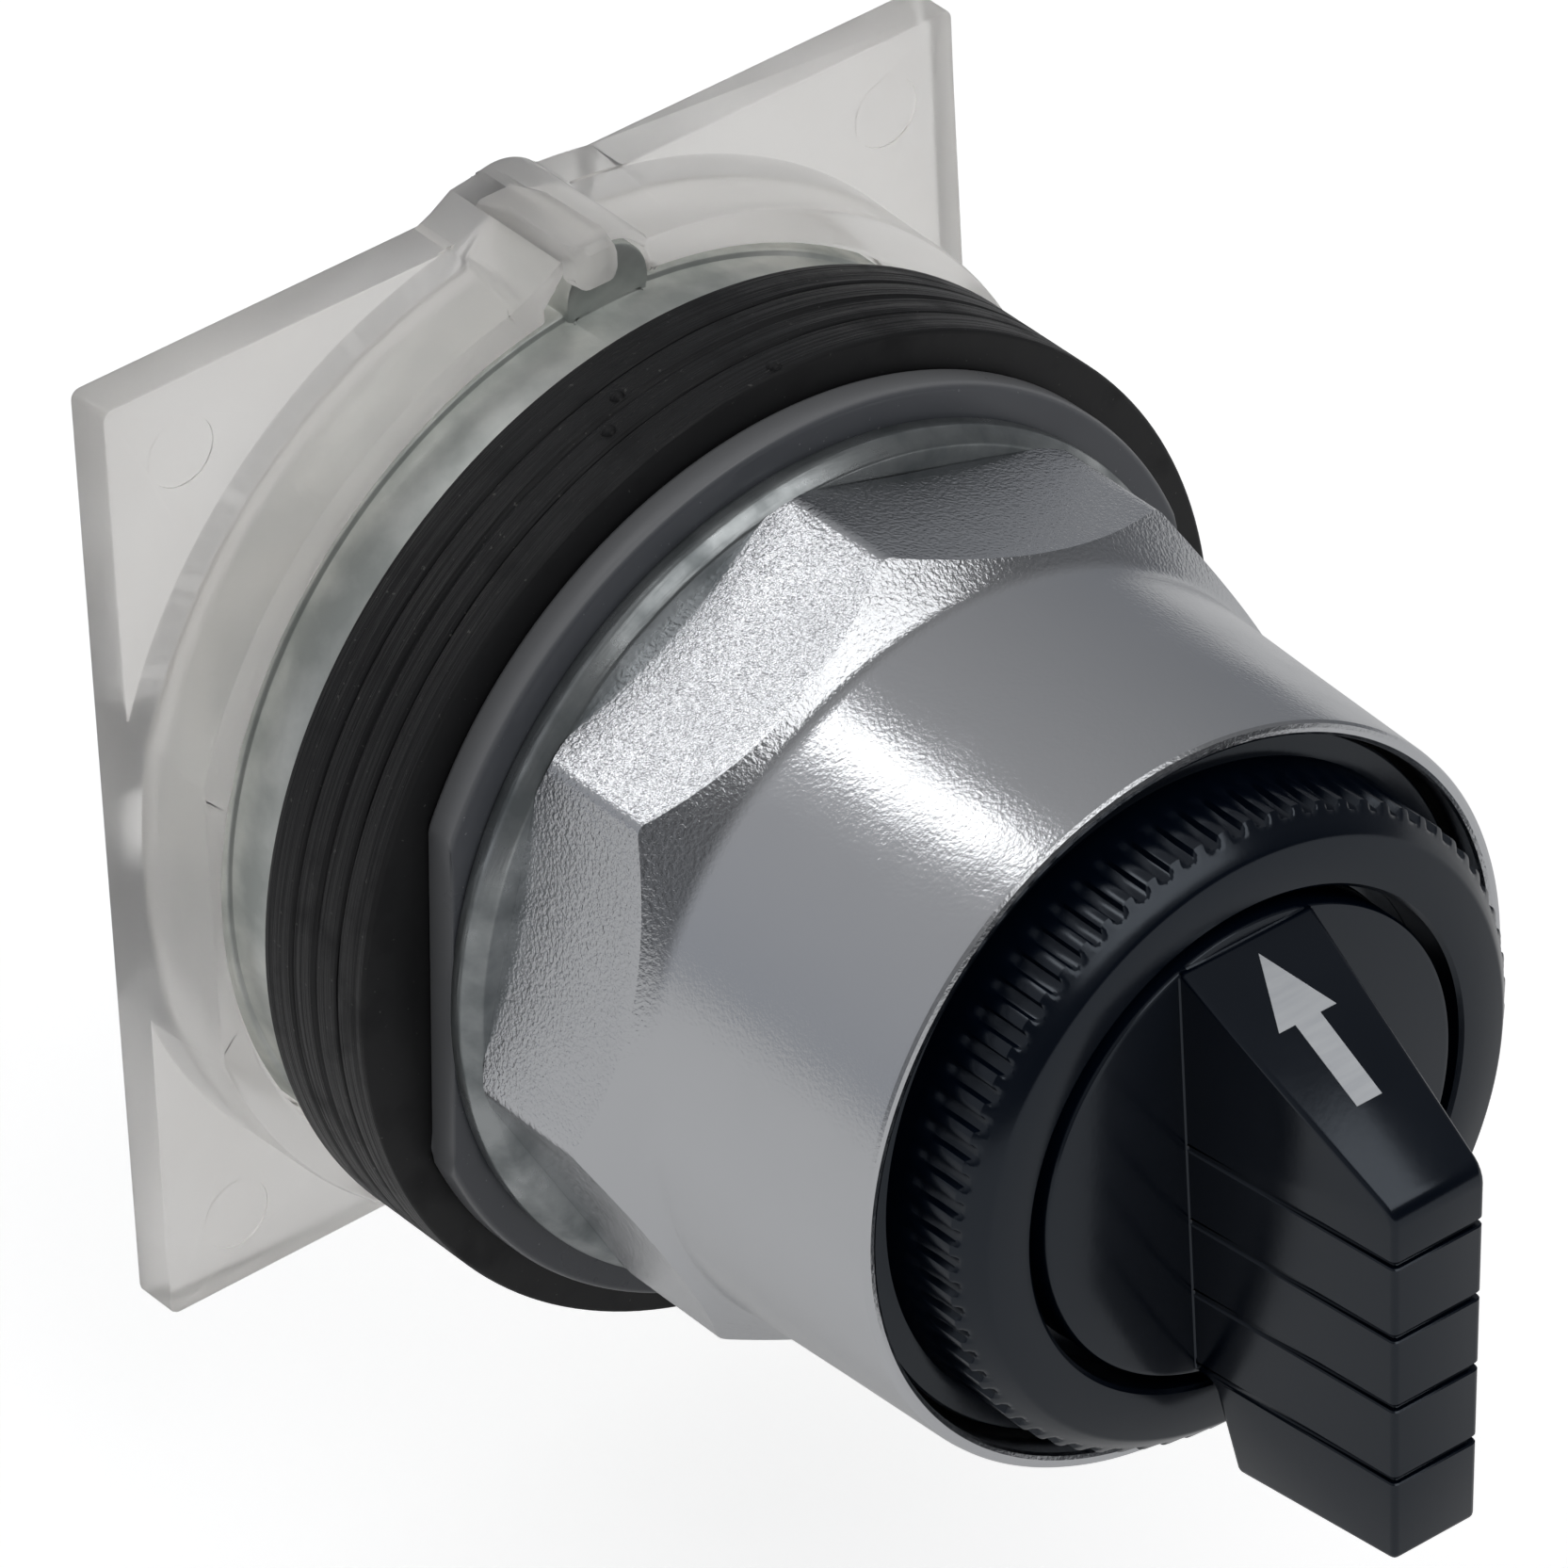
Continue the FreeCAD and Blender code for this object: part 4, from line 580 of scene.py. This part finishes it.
gray, nodes, links, shader, place = finish_of("gray_plastic", (0.13, 0.137, 0.15), 0.32)
flow = grain(nodes, links, place, 180, detail=5)
specks = grain(nodes, links, place, 4200, detail=2, low=0.72, high=0.78)
# The rim band behind the front face is painted paler than the face, as a painted highlight for light
# falling on it from the left. The paler specks share that colour.
split = nodes.new("ShaderNodeSeparateXYZ")
links.new(place, split.inputs[0])
painted_lit_rim = spread(nodes, links, split.outputs["Y"], -1.58 * MM, -1.42 * MM)
specks_and_painted_lit_rim = maths(nodes, links, "MAXIMUM", specks.outputs["Mask"], painted_lit_rim)
shade(nodes, links, specks_and_painted_lit_rim, (0.108, 0.115, 0.13), (0.26, 0.265, 0.275), shader.inputs["Base Color"])
shade(nodes, links, flow.outputs["Mask"], 0.27, 0.40, shader.inputs["Roughness"])
bump(nodes, links, shader, flow.outputs["Height"], 0.2, 0.05)
paint(washer, gray)
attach(washer, "base")
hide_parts("trim_washer")

# Zinc washer
# A stamped and plated washer with a bevelled front edge. The ring nut rubs on
# it, which leaves fine marks round its face.
CLAMP_FRONT = -3.1
thrust = turned("zinc_washer", [
    (BORE_R, TRIM_FRONT), (18.75, TRIM_FRONT), (18.9, -1.75), (18.9, -2.45), (18.35, CLAMP_FRONT),
    (BORE_R, CLAMP_FRONT),
])
soften(thrust, 0.1)
plated, nodes, links, shader, place = finish_of("zinc_plate", (0.32, 0.34, 0.35), 0.32)
shader.inputs["Metallic"].default_value = 0.85
cloud = grain(nodes, links, place, 420, detail=5)
rub = grain(nodes, links, place, 1.0, detail=6, stretch=(500, 6000, 500))
shade(nodes, links, cloud.outputs["Mask"], (0.22, 0.24, 0.245), (0.42, 0.44, 0.445),
      shader.inputs["Base Color"])
shade(nodes, links, cloud.outputs["Mask"], 0.42, 0.24, shader.inputs["Roughness"])
bump(nodes, links, shader, rub.outputs["Height"], 0.3, 0.06)
paint(thrust, plated)
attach(thrust, "base")
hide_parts("clamp_washer")

# Ring nut
# Cast zinc, eight flats at its foot, then a cone and a long sleeve that hides
# the knob's bezel. It is chromed over a rough cast skin, so the flats sparkle.
NUT_R, NUT_FLAT, NUT_BORE_R = 18.83, 17.4, 15.0
FIRST_FLAT = 28.5
collar = turned("chrome_nut", [
    (15.35, CLAMP_FRONT), (18.45, CLAMP_FRONT), (NUT_R, -3.45), (NUT_R, -8.95), (17.08, -11.1),
    (16.96, -11.29), (16.87, -11.5), (16.83, -11.75), (16.81, -12.1), (16.57, -18.0), (16.36, -23.9),
    (16.33, -24.12), (16.24, -24.27), (16.08, -24.35), (15.9, -24.34), (15.76, -24.25), (15.68, -24.08),
    (15.45, -14.0), (NUT_BORE_R, -13.5), (NUT_BORE_R, -3.45),
], steps=256)
for i in range(8):
    a = math.radians(FIRST_FLAT + 45 * i)
    trim(collar, (NUT_FLAT * math.cos(a), 0, NUT_FLAT * math.sin(a)), (math.cos(a), 0, math.sin(a)))
# Round the corners between the flats, then the flats' rear edges
bevel_edges(collar, 0.3, 3, lambda a, b: min(math.hypot(a.x, a.z), math.hypot(b.x, b.z)) > 18.6
            and abs(a.y - b.y) > 2)
bevel_edges(collar, 0.42, 4, lambda a, b: min(a.y, b.y) > CLAMP_FRONT - 0.01 and (a - b).length > 3)
smooth(collar, 16)
chrome, nodes, links, shader, place = finish_of("chrome_plate", (0.62, 0.63, 0.65), 0.24)
shader.inputs["Metallic"].default_value = 1.0
peel = grain(nodes, links, place, 5600, detail=3, low=0.4, high=0.6)
waves = grain(nodes, links, place, 260, detail=3)
draws = grain(nodes, links, place, 1.0, detail=5, stretch=(700, 60, 700))
shade(nodes, links, waves.outputs["Mask"], 0.16, 0.23, shader.inputs["Roughness"])
split = nodes.new("ShaderNodeSeparateXYZ")
links.new(place, split.inputs[0])
rough_end = spread(nodes, links, split.outputs["Y"], -12.0 * MM, -10.0 * MM, low=0.3)
cast_skin = maths(nodes, links, "MULTIPLY", peel.outputs["Height"], rough_end)
skin = bump(nodes, links, shader, cast_skin, 0.8, 0.055)
skin = bump(nodes, links, shader, waves.outputs["Height"], 0.2, 0.15, under=skin)
bump(nodes, links, shader, draws.outputs["Height"], 0.12, 0.05, under=skin)
paint(collar, chrome)
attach(collar, "base")
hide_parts("ring_nut")

# Bezel
# A black molded ring that screws on the body's neck and holds the knob. Flutes
# for the fingers run along its rim and out through the bevel at its face.
BEZEL_R, BEZEL_FACE, BEZEL_REAR = 14.25, -27.95, -15.0
BEVEL_START, DOT_ROW = -26.85, -23.87
FLUTE_DEPTH = 0.34
FLUTE_ROWS = ((-24.3, 0.28), (-24.42, 0.4), (-24.58, 0.55), (-24.8, 0.72), (-25.8, 1), (BEVEL_START, 1),
              (-27.03, 1), (-27.18, 1))
DOT_ROWS = ((DOT_ROW, 1),)
COLUMN_DEPTHS = (((2, 8), 0.1, FLUTE_ROWS), ((3, 7), 0.9, FLUTE_ROWS), ((4, 5, 6), 1.0, FLUTE_ROWS),
                 ((0,), -0.015, DOT_ROWS))
bezel = turned("fluted_bezel", [
    (12.55, BEZEL_REAR), (13.9, BEZEL_REAR), (13.9, -22.3), (15.28, -22.3), (15.38, -22.4),
    (15.38, -22.75), (15.28, -22.85), (14.6, -22.9), (14.3, -23.1), (BEZEL_R, -23.45), (BEZEL_R, -23.75),
    (BEZEL_R, DOT_ROW), (BEZEL_R, -23.99), (BEZEL_R, -24.3), (BEZEL_R, -24.42), (BEZEL_R, -24.58),
    (BEZEL_R, -24.8), (BEZEL_R, -25.8), (BEZEL_R, BEVEL_START), (14.07, -27.03), (13.92, -27.18),
    (13.79, -27.31), (13.66, -27.45), (13.3, -27.82), (13.1, BEZEL_FACE), (11.15, BEZEL_FACE),
    (10.98, -27.8), (10.98, -25.6), (12.0, -25.6), (12.0, -22.0), (12.55, -22.0),
], steps=720)
pick(bezel)
# Each tenth column starts a new flute. A flute ends where the bevel is deeper.
for columns, share, rows in COLUMN_DEPTHS:
    for row, part in rows:
        floor_r = BEZEL_R - FLUTE_DEPTH * share * part
        radius = min(BEZEL_R, BEZEL_R + row - BEVEL_START)
        if rows is FLUTE_ROWS and floor_r > radius:
            continue
        for vertex in bezel.data.vertices:
            x, y, z = vertex.co / MM
            column = round(math.degrees(math.atan2(z, x)) * 2) % 10
            vertex.select = abs(y - row) < 0.01 and column in columns and math.hypot(x, z) > 13.4
        bpy.ops.object.mode_set(mode="EDIT")
        bpy.ops.mesh.select_mode(type="VERT")
        bpy.ops.transform.resize(
            value=(floor_r / radius, 1, floor_r / radius), center_override=(0, 0, 0))
        bpy.ops.mesh.select_all(action="DESELECT")
        bpy.ops.object.mode_set(mode="OBJECT")
smooth(bezel, 40)
black, nodes, links, shader, place = finish_of("black_plastic", (0.0035, 0.0042, 0.0062), 0.26)
skin = grain(nodes, links, place, 2600, detail=3)
flow = grain(nodes, links, place, 160, detail=4)
shader.inputs["Specular IOR Level"].default_value = 0.56
shader.inputs["Specular Tint"].default_value = (0.80, 0.89, 1.0, 1)
shade(nodes, links, flow.outputs["Mask"], 0.16, 0.23, shader.inputs["Roughness"])
shade(nodes, links, flow.outputs["Mask"], (0.0008, 0.0030, 0.0088), (0.0014, 0.0040, 0.0105),
      shader.inputs["Base Color"])
bump(nodes, links, shader, skin.outputs["Height"], 0.2, 0.012)
paint(bezel, black)
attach(bezel, "base")
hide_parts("bezel")

# Knob
# Molded in one: a disc with its hub, and a tapered blade to grip. The blade has
# a ramp at its top for the arrow and four thin grooves across its face.
DISC_FACE, DISC_R, HUB_R = -28.05, 10.35, 8.0
BLADE_TOP, BLADE_TOP_Z, BLADE_FOOT, BLADE_FOOT_Z = -39.35, 3.86, -38.7, -13.45
BLADE_HALF, BLADE_TAPER, BLADE_LEAN = 3.2, 0.083, 0.016
GROOVES, GROOVE_HALF = (1.37, -2.26, -5.76, -9.43), 0.16


def half_width(y, z):
    """Half the blade's thickness at a station and a height, in mm."""
    return BLADE_HALF + BLADE_LEAN * z - BLADE_TAPER * (DISC_FACE - y)


knob = turned("knob_body", [
    (0, DISC_FACE), (10.05, DISC_FACE), (10.25, -28.0), (DISC_R, -27.85), (DISC_R, -25.55),
    (11.9, -25.55), (11.9, -24.0), (HUB_R, -24.0), (HUB_R, -16.8), (7.7, -16.5), (0, -16.5),
])
blade = slab("blade_tool", [
    (-27.75, 9.6), (DISC_FACE, 9.9), (BLADE_TOP, BLADE_TOP_Z), (BLADE_FOOT, BLADE_FOOT_Z),
    (-30.1, -13.7), (-28.95, -9.9), (DISC_FACE, -9.8), (-27.75, -9.5),
], -6, 6, along="X")
for side in (1, -1):
    trim(blade, (side * BLADE_HALF, DISC_FACE, 0),
         Vector((side, -BLADE_TAPER, -BLADE_LEAN)).normalized())
bevel_edges(blade, 0.7, 4, lambda a, b: max(a.y, b.y) < BLADE_TOP + 0.02)
soften(blade, 0.28, segments=3, angle=30)
slope = (BLADE_FOOT - BLADE_TOP) / (BLADE_TOP_Z - BLADE_FOOT_Z)
for z in GROOVES:
    front = BLADE_TOP + slope * (BLADE_TOP_Z - z)
    root, tip = half_width(DISC_FACE, z) - 0.02, half_width(front, z) - 0.3
    cut(blade, slab("groove_tool", [
        (5.5, -28.1), (root, -28.1), (tip, front + 0.32), (-tip, front + 0.32), (-root, -28.1),
        (-5.5, -28.1), (-5.5, -41), (5.5, -41),
    ], z - GROOVE_HALF, z + GROOVE_HALF, along="Z"))
cut(knob, blade, "UNION")
soften(knob, 0.06, segments=1, angle=50)
paint(knob, black)
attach(knob, "turning")
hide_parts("knob")

# Arrow
# A white inlay in the knob's ramp that points to the chosen position. It keeps
# its shape from the model and gets a slightly rubbed face.
inlay, nodes, links, shader, place = finish_of("white_plastic", (0.70, 0.72, 0.73), 0.45)
rub = grain(nodes, links, place, 1.0, detail=5, stretch=(300, 2400, 2400))
shade(nodes, links, rub.outputs["Mask"], (0.76, 0.79, 0.83), (0.86, 0.89, 0.92),
      shader.inputs["Base Color"])
bump(nodes, links, shader, rub.outputs["Height"], 0.2, 0.03)
for material_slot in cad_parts["knob_arrow"].material_slots:
    material_slot.material = inlay

# Inner works and rear
# The cam, push rods and cover are natural acetal, the spindle and screws are
# plated steel, and the springs are bare wire and strip.
acetal, nodes, links, shader, place = finish_of("acetal", (0.62, 0.60, 0.54), 0.4)
flow = grain(nodes, links, place, 300, detail=4)
shade(nodes, links, flow.outputs["Mask"], (0.58, 0.56, 0.50), (0.66, 0.64, 0.58),
      shader.inputs["Base Color"])
bump(nodes, links, shader, flow.outputs["Height"], 0.15, 0.04)
steel, nodes, links, shader, place = finish_of("plated_steel", (0.55, 0.56, 0.57), 0.28)
shader.inputs["Metallic"].default_value = 1.0
flow = grain(nodes, links, place, 900, detail=5)
shade(nodes, links, flow.outputs["Mask"], 0.22, 0.38, shader.inputs["Roughness"])
bump(nodes, links, shader, flow.outputs["Height"], 0.2, 0.03)
spring, nodes, links, shader, place = finish_of("spring_steel", (0.38, 0.39, 0.41), 0.33)
shader.inputs["Metallic"].default_value = 1.0
flow = grain(nodes, links, place, 1300, detail=4)
shade(nodes, links, flow.outputs["Mask"], (0.30, 0.31, 0.33), (0.44, 0.45, 0.47),
      shader.inputs["Base Color"])
bump(nodes, links, shader, flow.outputs["Height"], 0.2, 0.02)
ROD_X = 8
COIL_R, WIRE_R, COIL_START, COIL_REACH, TURNS = 2.72, 0.28, 5.52, 7.66, 5
wire = [math.tau * i / 16 for i in range(16)]
for side, x in (("left", -ROD_X), ("right", ROD_X)):
    coil = begin("coil_" + side)
    draw([(COIL_R + WIRE_R * math.cos(a), COIL_START + WIRE_R * math.sin(a), 0) for a in wire])
    bpy.ops.object.mode_set(mode="OBJECT")
    apply(coil, "SCREW", axis="Y", steps=48, render_steps=48, iterations=TURNS,
          screw_offset=COIL_REACH / TURNS * MM)
    bpy.ops.object.mode_set(mode="EDIT")
    bpy.ops.mesh.select_all(action="SELECT")
    bpy.ops.mesh.fill_holes(sides=0)
    bpy.ops.transform.translate(value=(x * MM, 0, 0))
    finish_edit()
    smooth(coil, 50)
    paint(coil, spring)
    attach(coil, "base")
    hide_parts("plunger_spring_" + side)
    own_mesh(coil)
for material, names in (
    (acetal, ("cam", "plunger_left", "plunger_right", "cam_cover")),
    (steel, ("spindle", "cam_screw", "plate_screw_top", "plate_screw_bottom")),
    (spring, ("detent_spring_top", "detent_spring_bottom")),
    (rubber, ("spindle_seal", "knob_seal")),
):
    for name in names:
        for material_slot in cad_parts[name].material_slots:
            material_slot.material = material
